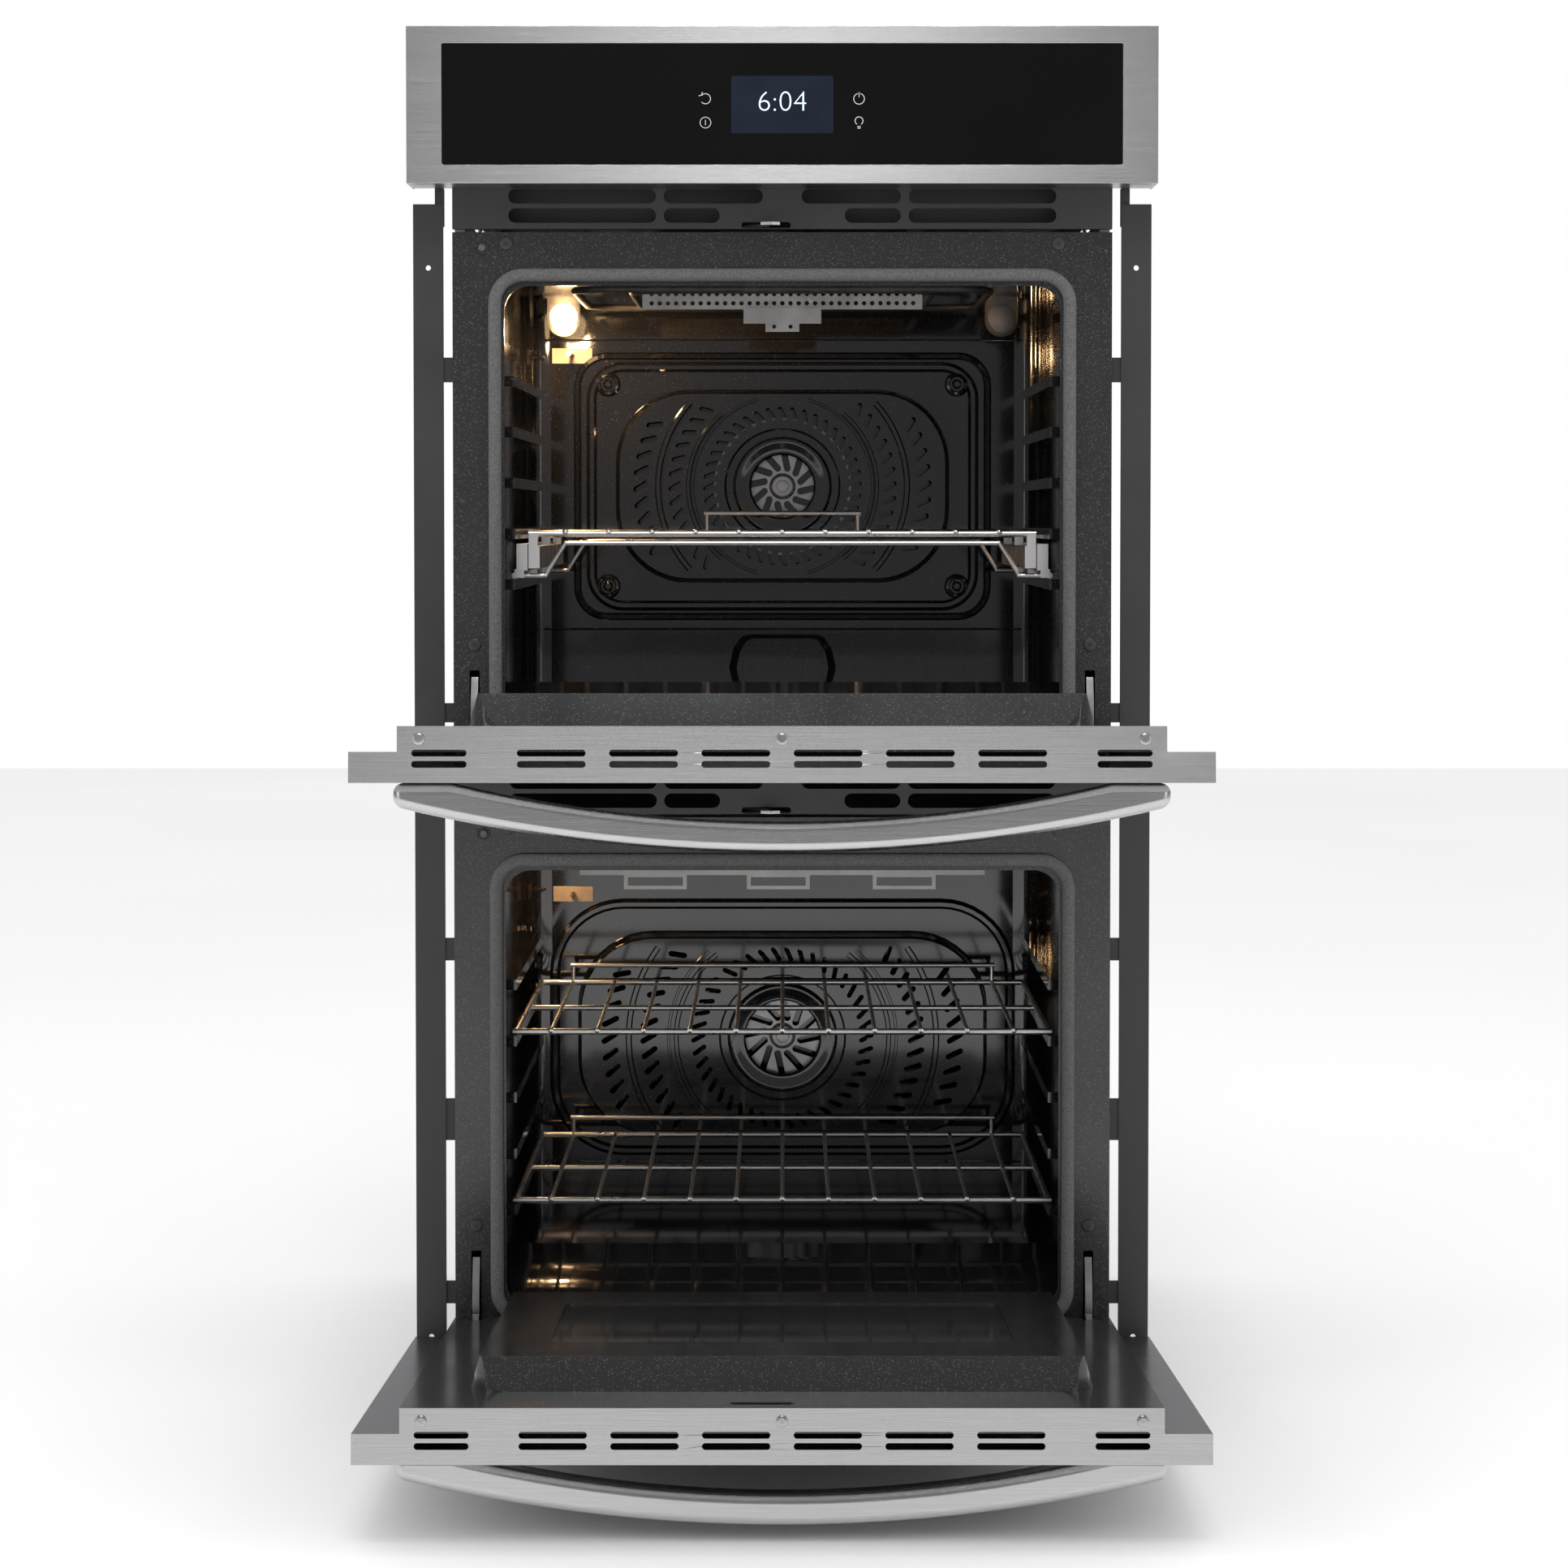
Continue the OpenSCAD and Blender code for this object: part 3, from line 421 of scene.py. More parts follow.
# %% [markdown]
# The cavities and door liners are glossy black enamel under a clear coat, and the front frames have more
# and paler flecks. The gasket is matt glass-fibre braid, and the insulation is loose wool, so both get a
# strong bump instead of a gloss.

# %% Enamel, paint, gasket and wool
finish_of["frame_enamel"] = finish("frame_enamel", speckle_group,
                                   enamel(grey(0.02), grey(0.12), 0.2, 0.16, 0.28), bump=0.03,
                                   Coat_Weight=0.3, Coat_Roughness=0.12)
finish_of["cavity_enamel"] = finish("cavity_enamel", speckle_group,
                                    enamel((0.011, 0.011, 0.012, 1), (0.1, 0.11, 0.13, 1), 0.07, 0.06, 0.14),
                                    bump=0.03, Coat_Weight=1.0, Coat_Roughness=0.06)
finish_of["trim_paint"] = finish("trim_paint", cloud_group,
                                 tones(0.028, 0.036, 0.36, 0.5, Scale=8.0), bump=0.06)
finish_of["gasket_braid"] = finish("gasket_braid", cloud_group,
                                   tones(0.06, 0.14, 0.7, 0.9, warm=0.01, Scale=700.0), bump=0.6)
finish_of["motor_paint"] = finish("motor_paint", cloud_group, tones(0.02, 0.04, 0.4, 0.55), bump=0.1)
finish_of["insulation_wool"] = finish("insulation_wool", cloud_group,
                                      tones(0.12, 0.2, 0.9, 1.0, warm=0.12, Scale=40.0), bump=0.8,
                                      depth=0.002)
print("coatings:", len(finish_of))

# %% [markdown]
# The control glass is printed black on its back, so it is simply black and glossy. The door panes are
# dark but let some light through, and the lamp jars are clear. The small plastic parts and the circuit
# board come last.

# %% Glass, plastic and board
finish_of["control_glass"] = finish("control_glass", cloud_group,
                                    tones(0.002, 0.0035, 0.06, 0.1, Scale=3.0), bump=0.01,
                                    Specular_IOR_Level=0.25)
finish_of["door_glass"] = finish("door_glass", cloud_group,
                                 tones(0.02, 0.035, 0.03, 0.08, Scale=5.0), bump=0.01, Alpha=0.82)
finish_of["lamp_glass"] = finish("lamp_glass", cloud_group,
                                 tones(0.8, 0.9, 0.05, 0.15, warm=0.06, Scale=60.0), bump=0.1,
                                 Transmission_Weight=0.8)
finish_of["board_green"] = finish("board_green", cloud_group,
                                  {"Low Tone": (0.01, 0.09, 0.03, 1), "High Tone": (0.02, 0.14, 0.05, 1),
                                   "Low Roughness": 0.35, "High Roughness": 0.5}, bump=0.2)
finish_of["switch_plastic"] = finish("switch_plastic", cloud_group, tones(0.03, 0.05, 0.4, 0.5), bump=0.1)
finish_of["pin_plastic"] = finish("pin_plastic", cloud_group, tones(0.08, 0.1, 0.4, 0.5), bump=0.1)
print("finishes:", len(finish_of))

# %% [markdown]
# Each CAD node names the material that it is made of. Its finish is looked up by that name, so that a
# node that stays as it is and a new piece of the same metal look alike.

# %% Give every CAD node its finish
slot_of = {part["node"]: part["material_slot"] for part in frame["record"]["subparts"]}
for node, shown in cad.items():
    shown.data.materials.clear()
    shown.data.materials.append(finish_of[slot_of[node]])
print("nodes with a finish:", len(slot_of))

# %% [markdown]
# ## Sheet metal, racks and other parts whose CAD shape is right
# The trims, panels and brackets only need their edges softened. The racks, glides and rods are already
# round in the CAD: their copies are merged and shaded smooth, with no bevel.

# %% Soften the sheet metal
for node, width in (
    ("control_panel", 0.9), ("left_side_trim", 0.5), ("right_side_trim", 0.5), ("bottom_trim", 0.6),
    ("upper_vent_trim", 0.6), ("lower_vent_trim", 0.6), ("upper_front_frame", 0.8),
    ("lower_front_frame", 0.8), ("left_side_panel", 0.4), ("right_side_panel", 0.4), ("top_panel", 0.4),
    ("back_panel", 0.4), ("base_pan", 0.4), ("terminal_box", 0.5), ("upper_door_skin", 0.5),
    ("lower_door_skin", 0.5), ("upper_door_liner", 1.2), ("lower_door_liner", 1.2),
    ("upper_hinge_brackets", 0.4), ("lower_hinge_brackets", 0.4), ("upper_latch", 0.4),
    ("lower_latch", 0.4),
    ("upper_cavity", 0.7), ("lower_cavity", 0.7), ("upper_door_window", 0.6), ("lower_door_window", 0.6),
    ("upper_door_inner_glass", 0.6), ("lower_door_inner_glass", 0.6),
):
    soften(node, width)

# %% [markdown]
# The broil bracket and the reflector strip are pale, dull steel that has been heated many times, and the
# sensor plates have turned coppery. A part of their colour is scale, not bare metal, so their shader is
# only partly metallic, which is simpler than a mask of stains and looks the same at this size.

# %% Broil bracket, reflector and sensor plates
heated_steel = finish("heated_steel", cloud_group, tones(0.42, 0.6, 0.35, 0.5, warm=0.03, Scale=35.0),
                      bump=0.08, Metallic=0.45)
soften("broil_bracket", 0.3, material=heated_steel)
soften("broil_reflector", 0.4, material=heated_steel)
sensor_plate = finish("sensor_plate", cloud_group, tones(0.3, 0.42, 0.42, 0.58, warm=0.22, Scale=80.0),
                      Metallic=0.8)
soften("temperature_sensors", 0.3, material=sensor_plate)

# %% [markdown]
# Racks, rods, motors and fans are round already. With a bevel of no width, the same helper merges their
# loose triangles and shades them smooth, and so adds no triangles at all.

# %% Shade the round parts smooth
for node in ("upper_rack", "high_rack", "low_rack", "glide_frame", "broil_elements", "bake_elements",
             "ring_elements", "oven_lamps", "fan_motors", "blower_housing", "blower_wheel",
             "upper_door_hinge_pins", "lower_door_hinge_pins", "upper_switch_pin", "lower_switch_pin"):
    soften(node, 0)

# %% [markdown]
# The back of each door skin is painted black like the liner, where it folds in behind the steel. A second
# material on the same mesh does this: it goes to the faces that look up while the door is open, near its
# sides.

# %% Paint the backs of the door skins
SIDE_FOLD = 290 * TO_METRES
for name in ovens:
    node = name + "_door_skin"
    mesh = bpy.data.objects["soft_" + node].data
    mesh.materials.append(finish_of["frame_enamel"])
    painted = [p for p in mesh.polygons if p.normal.z > 0.9 and abs(p.center.x) > SIDE_FOLD]
    for polygon in painted:
        polygon.material_index = 1
    print(node, "painted faces:", len(painted))

# %% [markdown]
# ## The bowed handles
# Each handle is one bar, bowed outwards, with its long edges rolled well round. A wide bevel of several
# segments on the CAD bar gives that soft nose, which is what makes the steel grade from light to dark.

# %% Roll the edges of the handles
for name in ovens:
    soften(name + "_door_handle", 8.0, segments=6)

# %% [markdown]
# ## Control glass and its display
# A sheet of black glass with ground edges sits in the steel shell. The display is lit from behind the
# glass. The screen, digits and marks could be painted on with an image, but thin lit shapes stay sharp at
# any size.

# %% Lit finishes
def lit(name, low, high, strength):
    made = finish(name, cloud_group, {"Low Tone": low, "High Tone": high, "Scale": 20.0,
                                      "Low Roughness": 0.1, "High Roughness": 0.16}, bump=0.0,
                  Specular_IOR_Level=0.06)
    nodes = made.node_tree.nodes
    surface = nodes["Principled BSDF"]
    made.node_tree.links.new(nodes["Group"].outputs["Color"], surface.inputs["Emission Color"])
    surface.inputs["Emission Strength"].default_value = strength
    return made


screen_lit = lit("screen_lit", (0.008, 0.011, 0.018, 1), (0.011, 0.015, 0.024, 1), 0.6)
digit_lit = lit("digit_lit", (0.55, 0.68, 0.75, 1), (0.62, 0.74, 0.8, 1), 0.9)
mark_lit = lit("mark_lit", (0.4, 0.4, 0.41, 1), (0.5, 0.5, 0.51, 1), 0.6)

# %% Glass and screen
glass_face = round(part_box("control_glass")[0].y / TO_METRES, 1)
bm = bmesh.new()
plate(bm, rounded(0, 1205, 621, 110, 1.2, steps=2), [], glass_face, glass_face + 3.4, edge_round=0.5)
finish_piece(bm, "control_glass_sheet", "chassis", finish_of["control_glass"],
             ["control_glass"])
bm = bmesh.new()
plate(bm, rounded(0, 1204.4, 93, 52, 0.6, steps=2), [], glass_face - 0.1, glass_face + 0.1)
finish_piece(bm, "display_screen", "chassis", screen_lit)


# %% [markdown]
# The clock's digits are text. The text is turned into a mesh first and thinned a little, then stood
# upright on the glass and given a tenth of a millimetre of thickness.

# %% Clock digits
def digits(text, size, x, z, name):
    curve = bpy.data.curves.new(name, "FONT")
    curve.body, curve.size = text, size
    curve.align_x, curve.align_y = "CENTER", "CENTER"
    curve.offset, curve.resolution_u = -0.022 * size, 4
    maker = bpy.data.objects.new(name, curve)
    bm = bmesh.new()
    bm.from_mesh(bpy.data.meshes.new_from_object(maker))
    bpy.data.objects.remove(maker)
    bmesh.ops.rotate(bm, cent=(0, 0, 0), matrix=Matrix.Rotation(math.radians(90), 3, "X"), verts=bm.verts)
    bmesh.ops.translate(bm, vec=(x, glass_face - 0.22, z), verts=bm.verts)
    bmesh.ops.recalc_face_normals(bm, faces=bm.faces)
    if sum(f.normal.y * f.calc_area() for f in bm.faces) > 0:
        bmesh.ops.reverse_faces(bm, faces=bm.faces)
    grown = bmesh.ops.extrude_face_region(bm, geom=bm.faces[:])["geom"]
    bmesh.ops.translate(bm, vec=(0, 0.1, 0), verts=[g for g in grown if isinstance(g, bmesh.types.BMVert)])
    bmesh.ops.recalc_face_normals(bm, faces=bm.faces)
    finish_piece(bm, name, "chassis", digit_lit)


digits("6:04", 27.0, 0, 1206.4, "clock_digits")


# %% [markdown]
# Touch marks stand at both sides of the display: a return arrow, a power ring, a timer ring and a small
# lamp. Each is a few fine arcs and lines, drawn with the same tube as the wires, half sunk in the glass.

# %% Touch marks
def arc(bm, x, y, z, radius, start, sweep, thick, steps=24):
    begin = math.radians(start)
    place = (x + radius * math.cos(begin), y, z + radius * math.sin(begin))
    tube(bm, place, (-math.sin(begin), 0, math.cos(begin)), [("bend", radius, (0, -1, 0), sweep, steps)],
         thick, sides=6)


def line(bm, a, b, y, thick):
    tube(bm, (a[0], y, a[1]), (b[0] - a[0], 0, b[1] - a[1]), [("go", math.dist(a, b))], thick, sides=6)


MARK = 0.32
bm = bmesh.new()
for x, z, radius, start, sweep in ((-70, 1209.6, 4.6, -140, 280), (-70, 1188, 4.9, 0, 359),
                                   (70, 1209.6, 4.9, 105, 330), (70, 1189.6, 3.6, -60, 300)):
    arc(bm, x, glass_face, z, radius, start, sweep, MARK)
for a, b in (((-73.5, 1212.9), (-76.2, 1212.2)), ((-73.5, 1212.9), (-72.8, 1215.8)),
             ((-70, 1185.6), (-70, 1190.4)), ((70, 1211), (70, 1215.6)),
             ((68.4, 1184.4), (71.6, 1184.4)), ((68.6, 1182.9), (71.4, 1182.9))):
    line(bm, a, b, glass_face, MARK)
finish_piece(bm, "touch_marks", "chassis", mark_lit)

# %% [markdown]
# ## Braided door gaskets
# A glass-fibre rope in a woven sleeve runs round each opening in one loop. It is a tube: four straight
# runs and four bends, closed on itself. The weave is far too fine to model, so it is in the bump of its
# finish.

# %% Gaskets
def closed_loop(bm, width, height, bend, y, z, radius):
    corner = ("bend", bend, (0, 1, 0), 90, 10)
    tube(bm, (-width / 2 + bend, y, z + height / 2), (1, 0, 0),
         [("go", width - 2 * bend), corner, ("go", height - 2 * bend), corner, ("go", width - 2 * bend),
          corner, ("go", height - 2 * bend), corner], radius, sides=14, closed=True)


ROPE_RADIUS, ROPE_Y = 6.2, -13.9
for name, floor_z in ovens.items():
    bm = bmesh.new()
    closed_loop(bm, 533.0, 429.7, 26.5, ROPE_Y, floor_z + 248.85, ROPE_RADIUS)
    bmesh.ops.scale(bm, vec=(1, 0.7, 1), space=Matrix.Translation((0, -ROPE_Y, 0)), verts=bm.verts)
    finish_piece(bm, name + "_gasket_rope", "chassis", finish_of["gasket_braid"],
                 [name + "_gasket"], sharp=60)

# %% [markdown]
# ## Convection covers
# A cover hides each fan. It is pressed from one sheet: a flange, a rim, a recessed border, then a raised
# plateau full of slanted slots in rings. Displacing a flat grid would blur its folds, so the border is a
# stack of rounded outlines bridged into walls.

# %% Walls of a cover
WALL_FACE, FLANGE_FACE, PLATEAU_FACE = 472.6, 470.5, 440.0


def cover_walls(bm, border, plateau):
    width, height, radius, z = border
    wall(bm, [(rounded(0, z, width + d, height + d, radius + d / 2, 10), y) for d, y in (
        (10, WALL_FACE), (6, 469), (2, 467), (-6, 467), (-12, FLANGE_FACE))])
    stations = [(rounded(0, z, width - 12, height - 12, radius - 6, 10), FLANGE_FACE)]
    width, height, radius, z = plateau
    for grow, turn, y in ((4, 2, FLANGE_FACE), (0, 0, 466), (-3, -1.5, 443), (-7, -3, PLATEAU_FACE)):
        stations.append((rounded(0, z, width + grow, height + grow, radius + turn, 10), y))
    wall(bm, stations)


# %% [markdown]
# The plateau is one sheet. Its slots are holes in the sheet's outline, set out in rings round the fan's
# axis. The edges inside the sheet, and the rounds of its corners, are bent back a little, as a punch
# would leave them. The straight rim and the throat stay open, as the walls join on there.

# %% Slots and plateau
def slot_ring(fan_z, radius, length, width, count, slant, reach=1e9):
    holes = []
    for k in range(count):
        turn = math.radians(360.0 * k / count)
        if radius * abs(math.sin(turn)) <= reach:
            holes.append(rounded(radius * math.cos(turn), fan_z + radius * math.sin(turn), length, width,
                                 width * 0.48, steps=2, turn=turn + math.radians(slant)))
    return holes


def cover_face(bm, fan_z, plateau, throat, rings):
    width, height, radius, z = plateau
    outlines = [rounded(0, z, width - 7, height - 7, radius - 3, 10)]
    outlines += [hole for ring in rings for hole in slot_ring(fan_z, *ring)]
    outlines += [circle(0, fan_z, throat, 48)]
    edges = [edge for outline in outlines for edge in loop(bm, outline, PLATEAU_FACE)]
    bmesh.ops.triangle_fill(bm, use_beauty=True, use_dissolve=False, edges=edges, normal=(0, -1, 0))
    bent = [e for e in edges if max(abs(v.co.x) for v in e.verts) < width / 2 - 8
            and max(abs(v.co.z - z) for v in e.verts) < height / 2 - 4
            and math.dist((e.verts[0].co.x, e.verts[0].co.z), (0, fan_z)) > throat + 1]
    grown = bmesh.ops.extrude_edge_only(bm, edges=bent)["geom"]
    bmesh.ops.translate(bm, vec=(0, 1.6, 0), verts=[g for g in grown if isinstance(g, bmesh.types.BMVert)])


# %% [markdown]
# A square screw with a washer holds each corner of the upper cover. It is a wall of circles that climbs
# the washer and the head, and its end is filled and sunk.

# %% Square screw
def square_screw(bm, x, z, y):
    rings, made = wall(bm, [(circle(x, z, r, 20), y - d) for r, d in (
        (13, 0), (11, 4), (8.5, 5), (7.5, 3.5), (5.5, 3.5), (5.0, 6.0))])
    head = bmesh.ops.edgeloop_fill(bm, edges=rings[-1])["faces"]
    nut = bmesh.ops.inset_region(bm, faces=head, thickness=2.0, depth=-1.5)["faces"]
    bmesh.ops.recalc_face_normals(bm, faces=list(set(made + head + nut)))


# %% [markdown]
# Walls, plateau and throat are merged into one skin, whose front has to face the door. The ribs are arcs
# half sunk in the plateau, added after the merge with the screws, as they are closed shapes of their own.

# %% One convection cover
def cover(name, border, plateau, opening, rings, ribs, screws=()):
    fan_z = fan_axis[name]
    border = border[:3] + (fan_z + border[3],)
    plateau = plateau[:3] + (fan_z + plateau[3],)
    bm = bmesh.new()
    cover_walls(bm, border, plateau)
    cover_face(bm, fan_z, plateau, opening + 31, rings)
    wall(bm, [(circle(0, fan_z, opening + d, 48), y) for d, y in (
        (31, PLATEAU_FACE), (28, PLATEAU_FACE), (26, 445), (19, 445), (16, 439), (12, 438.6), (8, 440.5),
        (2, 440.5), (0, 444))])
    bmesh.ops.remove_doubles(bm, verts=bm.verts, dist=0.02)
    bmesh.ops.recalc_face_normals(bm, faces=bm.faces)
    if sum(f.normal.y * f.calc_area() for f in bm.faces) > 0:
        bmesh.ops.reverse_faces(bm, faces=bm.faces)
    for radius, half, thick in ribs:
        for middle in (0, 180):
            arc(bm, 0, PLATEAU_FACE + 0.6, fan_z, radius, middle - half, 2 * half, thick, steps=20)
    for x, rise in screws:
        square_screw(bm, x, fan_z + rise, 470.0)
    finish_piece(bm, name + "_cover", "chassis", finish_of["cavity_enamel"],
                 [name + "_fan_cover"])


cover("upper", border=(404, 253, 34, 0), plateau=(348, 200, 75, 0), opening=33,
      rings=[(76, 16, 4.6, 40, 28), (112.5, 16, 5.0, 48, 30, 84), (148.5, 18, 5.6, 56, 32, 78)],
      ribs=[(99, 50, 2.6), (130.5, 42, 3.6), (94.5, 74, 2.0)],
      screws=[(184, 107.7), (-184, 107.7), (184, -105.3), (-184, -105.3)])
cover("lower", border=(484, 264, 74, 7), plateau=(430, 212, 78, 2), opening=39,
      rings=[(88.5, 17, 5.0, 42, 28), (141, 20, 6.0, 56, 30, 88), (182, 20, 6.0, 66, 32, 82)],
      ribs=[(112, 52, 3.0), (162, 36, 3.6), (120, 50, 2.0)])

# %% [markdown]
# ## Convection fans
# A fan wheel is stamped from aluminium sheet: twelve slanted blades with a slit in each, round a raised
# hub and a hexagon nut. Its gaps are holes in one plate, and the slits are small bars on it, since they
# are too narrow to see through. They lie a few degrees on from the gaps, in the middle of each blade.

# %% Fans
def hub(bm):
    rings, made = wall(bm, [(circle(0, 0, r, 36), y) for r, y in (
        (14, 457.2), (12.4, 453), (11.4, 450), (10.2, 449.4), (9.0, 449.4))])
    made += bmesh.ops.edgeloop_fill(bm, edges=rings[-1])["faces"]
    bmesh.ops.recalc_face_normals(bm, faces=made)
    if made[0].normal.y > 0:
        bmesh.ops.reverse_faces(bm, faces=made)
    plate(bm, circle(0, 0, 7, 6), [], 442.2, 449.6, edge_round=0.8)
    plate(bm, circle(0, 0, 4, 20), [], 441.6, 443.0, edge_round=0.5)


SLIT_LAG = 7.7


def fan(name, blades=12):
    pitch = 360 / blades
    gap_turns = [math.radians(pitch * k) for k in range(blades)]
    slit_turns = [math.radians(pitch * k + SLIT_LAG) for k in range(blades)]
    gaps = [rounded(43 * math.cos(a), 43 * math.sin(a), 56, 6.8, 3.2, 3, turn=a + math.radians(12))
            for a in gap_turns]
    slits = [rounded(27 * math.cos(a), 27 * math.sin(a), 13, 1.8, 0.8, 2, turn=a + math.radians(19))
             for a in slit_turns]
    bm = bmesh.new()
    plate(bm, circle(0, 0, 72.5, 72), gaps, 457.0, 458.2, edge_round=0.3)
    for slit in slits:
        plate(bm, slit, [], 455.6, 457.2)
    hub(bm)
    tube(bm, (0, 458, 0), (0, 1, 0), [("go", 56)], 4.0, sides=20)
    bmesh.ops.translate(bm, vec=(0, 0, fan_axis[name]), verts=bm.verts)
    finish_piece(bm, name + "_fan_wheel", name + "_fan", finish_of["fan_aluminium"],
                 [name + "_fan"])


for name in ovens:
    fan(name)

# %% [markdown]
# ## Pressings in the cavity walls
# The back wall has a raised border round the cover, weld seams above and below, and, in the upper oven, a
# trapezoid bump at the bottom. They are shallow, so each is its own thin pressing that sits on the wall.

# %% Wall pressings
def seams(bm, floor_z, rises):
    for rise in rises:
        tube(bm, (-262, 472.4, floor_z + rise), (1, 0, 0), [("go", 524)], 1.1, sides=8)


bm = bmesh.new()
wall(bm, [(rounded(0, fan_axis["upper"], 435 + d, 277 + d, 32 + d / 2, 8), y) for d, y in (
    (6, 472.9), (2, 470.4), (-6, 469.6), (-10, 472.9))])
seams(bm, ovens["upper"], (426.5, 121.6))
foot = ovens["upper"] + 75
side = [(58, 0), (52, 26), (44, 38), (36, 41)]
bump = side + [(-x, rise) for x, rise in reversed(side)]
rings, made = wall(bm, [([(x, foot + rise) for x, rise in bump], 472.8),
                        ([(0.86 * x, foot + 0.9 * rise) for x, rise in bump], 461)])
made += bmesh.ops.edgeloop_fill(bm, edges=rings[-1])["faces"]
plate(bm, rounded(0, foot + 14, 84, 26, 1.5, 2), [], 459.6, 461.4, edge_round=0.6)
bmesh.ops.recalc_face_normals(bm, faces=bm.faces)
finish_piece(bm, "upper_back_pressings", "chassis", finish_of["cavity_enamel"])
bm = bmesh.new()
seams(bm, ovens["lower"], (426.5, 98.5))
finish_piece(bm, "lower_back_pressings", "chassis", finish_of["cavity_enamel"])

# %% [markdown]
# ## Screws
# Pan-head screws hold the frames and the door edges. A head is a low dome of bridged circles, and the two
# arms of its cross are thin bars set in the dome. One helper draws it, facing forwards, at each place.

# %% Pan-head screws
def pan_head(bm, x, z, y, radius, height):
    rings, made = wall(bm, [(circle(x, z, radius * r, 24), y - height * d) for r, d in (
        (1.0, 0.0), (1.0, 0.35), (0.93, 0.7), (0.78, 0.92), (0.55, 1.0))])
    made += bmesh.ops.edgeloop_fill(bm, edges=rings[-1])["faces"]
    made += bmesh.ops.edgeloop_fill(bm, edges=rings[0])["faces"]
    bmesh.ops.recalc_face_normals(bm, faces=made)
    for turn in (0.785, 2.356):
        plate(bm, rounded(x, z, radius * 1.05, radius * 0.2, radius * 0.06, 1, turn=turn), [],
              y - height * 1.04, y - height * 0.9)


FRAME_FACE = -10
bm = bmesh.new()
for floor_z in ovens.values():
    for x, rise in ((286, 120.8), (-286, 120.8), (256, 493), (-256, 493)):
        pan_head(bm, x, floor_z + rise, FRAME_FACE, 6.0, 2.2)
finish_piece(bm, "frame_screw_heads", "chassis", finish_of["trim_paint"],
             ["frame_screws"])

# %% [markdown]
# The same screws sit in the top edge of each door. They are placed on the door as if it were shut, and
# then turned open about the hinge, by the angle at which the frame holds the doors.

# %% Door-edge screws
def open_door(bm, body):
    opening = Matrix.Rotation(math.radians(joint_of[body]["range_deg"][1]), 3, "X")
    bmesh.ops.rotate(bm, cent=(0, 0, 0), matrix=opening, verts=bm.verts)
    bmesh.ops.translate(bm, vec=joint_place(body), verts=bm.verts)


DOOR_EDGE = 508.3
for name in ovens:
    bm = bmesh.new()
    for x in (-287.4, 0, 287.3):
        pan_head(bm, x, 3.7, 0, 4.8, 2.0)
    bmesh.ops.rotate(bm, cent=(0, 0, 0), matrix=Matrix.Rotation(math.radians(-90), 3, "X"), verts=bm.verts)
    bmesh.ops.translate(bm, vec=(0, 0, DOOR_EDGE), verts=bm.verts)
    open_door(bm, name + "_door")
    finish_piece(bm, name + "_door_edge_screws", name + "_door", finish_of["plated_steel"])

# %% [markdown]
# ## Rack wire ends
# Each front-to-back wire is welded over the front rod, and its end melts to a small bead. There are more
# than thirty, so each is a ball of few faces.

# %% Beads on the racks
def beads(body, z, pitch, count=11, front=49.6, radius=3.1):
    bm = bmesh.new()
    for k in range(count):
        start = Matrix.Translation(((k - count // 2) * pitch, front, z))
        bmesh.ops.create_uvsphere(bm, u_segments=12, v_segments=8, radius=radius, matrix=start)
    finish_piece(bm, body + "_beads", body, finish_of["rack_chrome"])


beads("upper_rack", 814.4, 41)
beads("high_rack", 341.6, 44)
beads("low_rack", 180.5, 44)

# %% [markdown]
# ## Oven lights
# Each lamp is a pressed glass jar round a small bulb. The upper left one is lit. A glowing mesh alone
# would light the enamel only after a very long render, so its bulb glows, and a small warm lamp beside it
# does the lighting.

# %% Bulbs
bulb_lit = lit("bulb_lit", (1.0, 0.66, 0.3, 1), (1.0, 0.82, 0.55, 1), 6.0)
bulb_off = finish("bulb_off", cloud_group, tones(0.6, 0.75, 0.1, 0.2, warm=0.05, Scale=40.0), bump=0.02)


def bulb(name, x, z, material):
    bm = bmesh.new()
    bmesh.ops.create_uvsphere(bm, u_segments=24, v_segments=14, radius=9.5)
    bmesh.ops.scale(bm, vec=(1, 1, 1.35), verts=bm.verts)
    bmesh.ops.translate(bm, vec=(x, 386, z), verts=bm.verts)
    finish_piece(bm, name, "chassis", material)


LAMP_RISE, LAMP_X = 447, 226
for name, floor_z in ovens.items():
    bulb(name + "_left_bulb", -LAMP_X, floor_z + LAMP_RISE, bulb_lit if name == "upper" else bulb_off)
    bulb(name + "_right_bulb", LAMP_X, floor_z + LAMP_RISE, bulb_off)


# %% [markdown]
# The warm lamps sit just in front of the left bulbs. The lower one is weak: only a little light reaches
# that oven.

# %% Warm glow
def glow(name, x, y, z, power, size=0.012):
    data = bpy.data.lights.new(name, "POINT")
    data.energy, data.color, data.shadow_soft_size = power, (1.0, 0.6, 0.28), size
    lamp = bpy.data.objects.new(name, data)
    bpy.context.scene.collection.objects.link(lamp)
    lamp.location = (x * TO_METRES, y * TO_METRES, z * TO_METRES)


glow("upper_left_glow", -222, 360, 1020, 1.5)
glow("lower_left_glow", -240, 360, 478, 0.5)
print("warm lights:", len(bpy.data.lights))

# %% [markdown]
# ## Dark plate behind the upper vents, as painted shade
# A folded dark plate stands a little way behind the vent slots. It is painted shade: it stands in for the
# shade inside the case, so that nothing but black shows through the slots. Two thin plates are enough for
# it.

# %% Painted-shade plate behind the vents
bm = bmesh.new()
plate(bm, rounded(0, 1123, 596, 46, 3, steps=3), [], 30, 31.2, edge_round=0.3)
plate(bm, rounded(0, 1100.6, 590, 1.2, 0.4, steps=1), [], 14, 30, edge_round=0.1)
# this dark plate is painted shade: it stands in for the shade seen through the vent slots
finish_piece(bm, "upper_vent_shade_plate", "chassis", finish_of["trim_paint"])
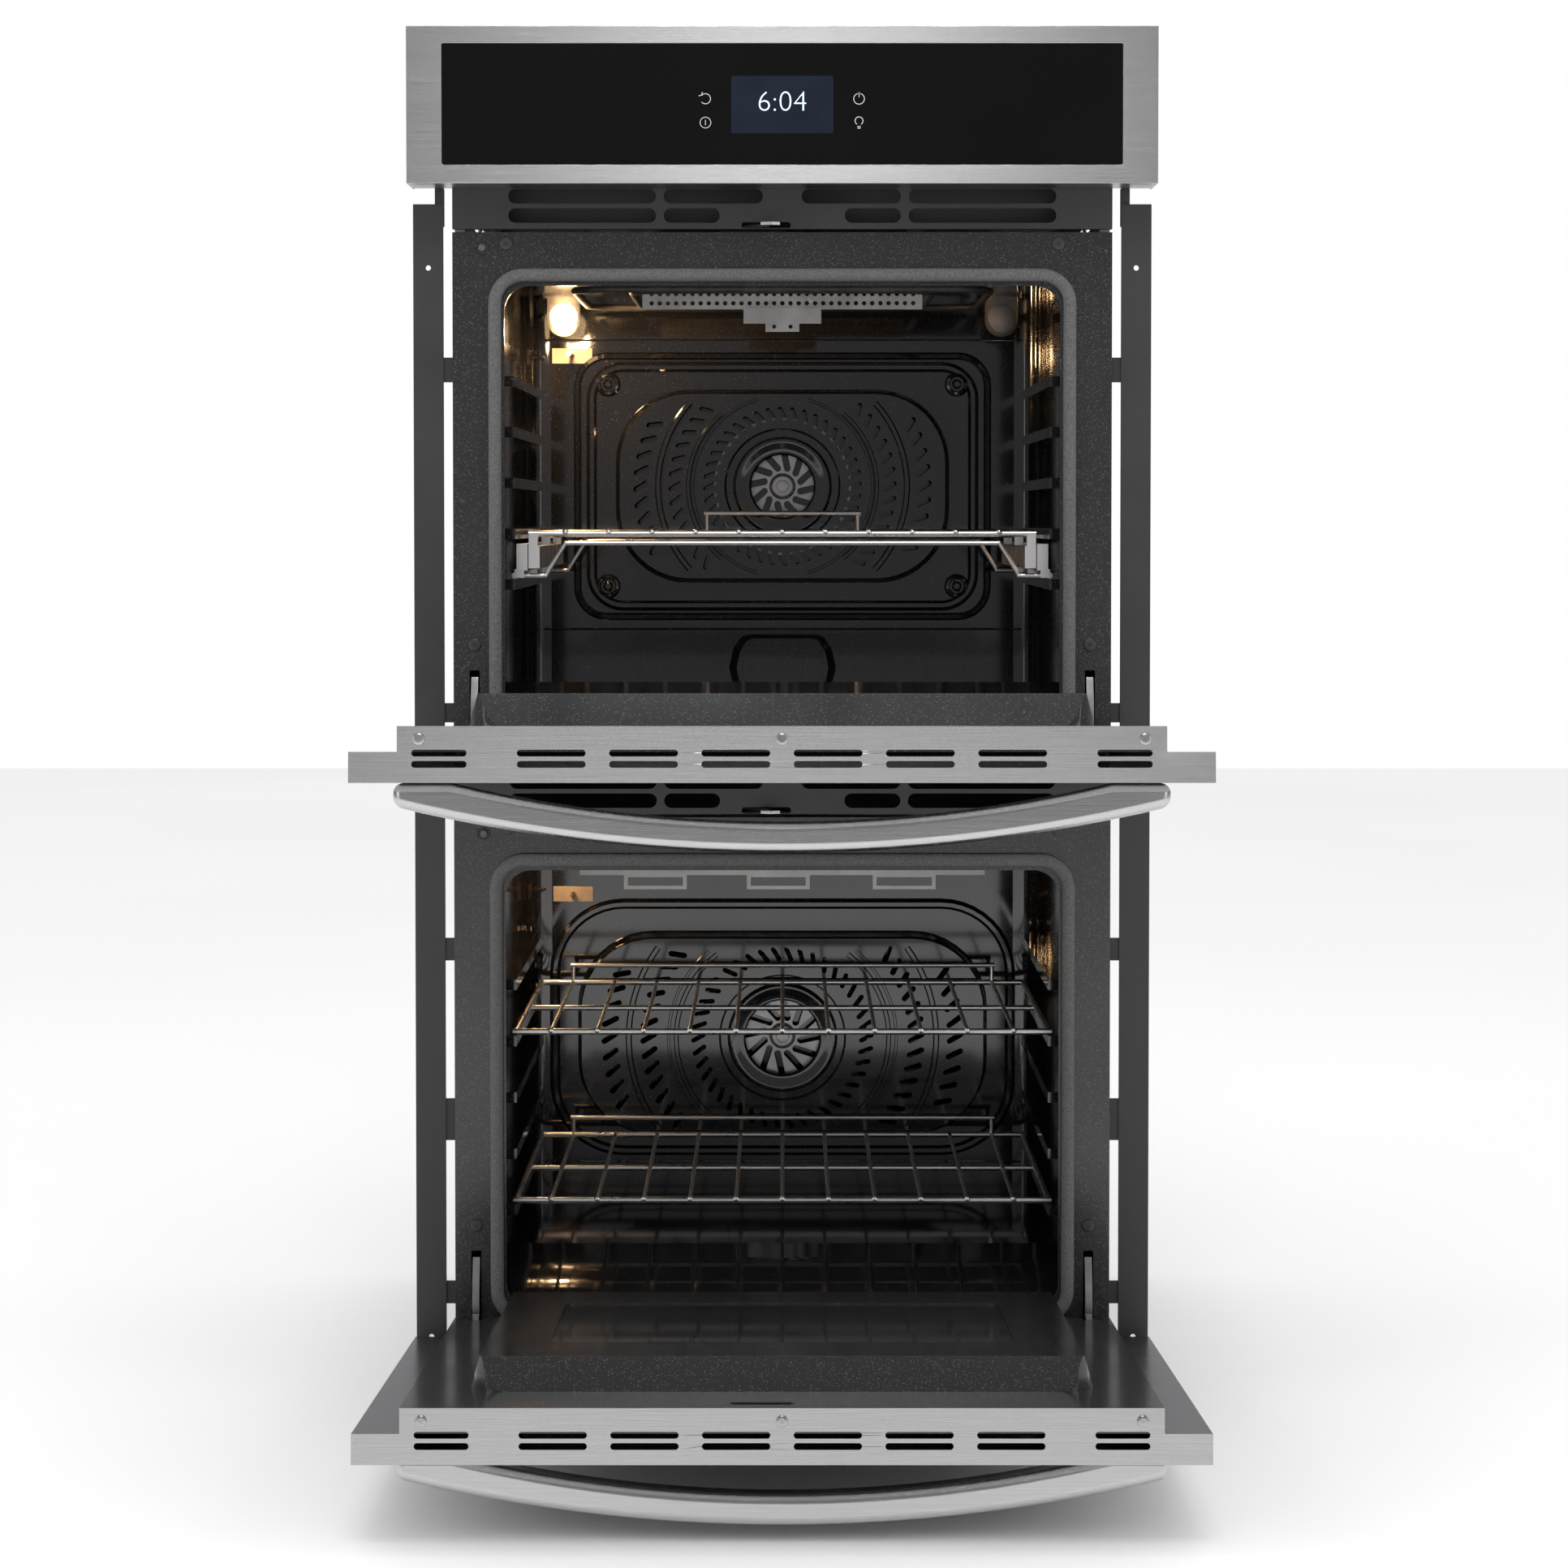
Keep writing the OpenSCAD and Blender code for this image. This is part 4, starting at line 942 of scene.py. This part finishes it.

# %% [markdown]
# ## Floor
# The oven stands on the plain, pale, matt floor of a studio. One big square is enough.

# %% Floor
bm = bmesh.new()
bmesh.ops.create_grid(bm, x_segments=1, y_segments=1, size=9.0)
mesh = bpy.data.meshes.new("studio_floor")
bm.to_mesh(mesh)
bm.free()
floor = bpy.data.objects.new("studio_floor", mesh)
bpy.context.scene.collection.objects.link(floor)
mesh.materials.append(finish("studio_floor", cloud_group, tones(0.93, 0.95, 0.75, 0.85, Scale=0.5),
                             bump=0.0))
print("floor at z", floor.location.z)

# %% [markdown]
# ## Room light
# A white room lights everything evenly, but bright walls would turn black enamel grey. The room is
# therefore darker in reflections: the Light Path node tells a mirrored ray from a plain one.

# %% Room light
world = bpy.data.worlds.new("studio")
bpy.context.scene.world = world
world.use_nodes = True
room = world.node_tree
sky = room.nodes["Background"]
seen = add(room, "LightPath")
bright = add(room, "MixRGB", Fac=seen.outputs["Is Glossy Ray"], Color1=(1, 1, 1, 1),
             Color2=(0.26, 0.26, 0.27, 1))
room.links.new(bright.outputs[0], sky.inputs["Color"])
sky.inputs["Strength"].default_value = 1.0


# %% [markdown]
# ## Softboxes
# Softboxes stand in front, above and at both sides. Brushed steel needs something bright to mirror, while
# black glass should stay clean. So two more are each linked to one steel part alone: a small one for the
# control panel, whose middle is then brighter than its ends, and a wide one for the edge of the upper
# door.

# %% Softboxes
def softbox(name, place, aim, width, height, power, only_for=None):
    data = bpy.data.lights.new(name, "AREA")
    data.shape, data.size, data.size_y, data.energy = "RECTANGLE", width, height, power
    lamp = bpy.data.objects.new(name, data)
    bpy.context.scene.collection.objects.link(lamp)
    lamp.location = place
    lamp.rotation_euler = (Vector(aim) - Vector(place)).to_track_quat("-Z", "Y").to_euler()
    if only_for:
        lit_alone = bpy.data.collections.new(name + "_receivers")
        lit_alone.objects.link(bpy.data.objects[only_for])
        lamp.light_linking.receiver_collection = lit_alone


softbox("front_softbox", (0.0, -3.4, 4.4), (0, 0, 0.8), 1.2, 1.2, 50)
softbox("panel_softbox", (0.0, -4.6, 1.72), (0, 0, 1.2), 0.35, 0.5, 5.5,
        only_for="soft_control_panel")
softbox("door_edge_softbox", (0.0, -4.6, 0.86), (0, -0.5, 0.6), 1.8, 0.5, 3.2,
        only_for="soft_upper_door_skin")
softbox("top_softbox", (0.0, -1.0, 3.6), (0, 0, 0.6), 3.0, 2.0, 16)
softbox("left_softbox", (-3.2, -2.2, 1.6), (0, 0, 0.7), 1.4, 2.0, 14)
softbox("right_softbox", (3.2, -2.2, 1.6), (0, 0, 0.7), 1.4, 2.0, 14)
print("lights:", len(bpy.data.lights))

# %% [markdown]
# ## Camera
# A longer lens from three and a half metres keeps the oven's sides nearly straight. The camera looks down
# a little, and a small lens shift centres the oven without leaning its uprights further.

# %% Camera
camera_data = bpy.data.cameras.new("camera")
camera = bpy.data.objects.new("camera", camera_data)
bpy.context.scene.collection.objects.link(camera)
bpy.context.scene.camera = camera
camera_data.lens = 86.5
camera_data.sensor_width = 36.0
camera_data.shift_y = -0.0841
camera.location = (0.0016, -3.514, 0.826)
camera.rotation_euler = (math.radians(90 - 2.01), 0, 0)
bpy.context.scene.view_settings.view_transform = "Standard"
print("camera at", tuple(camera.location))
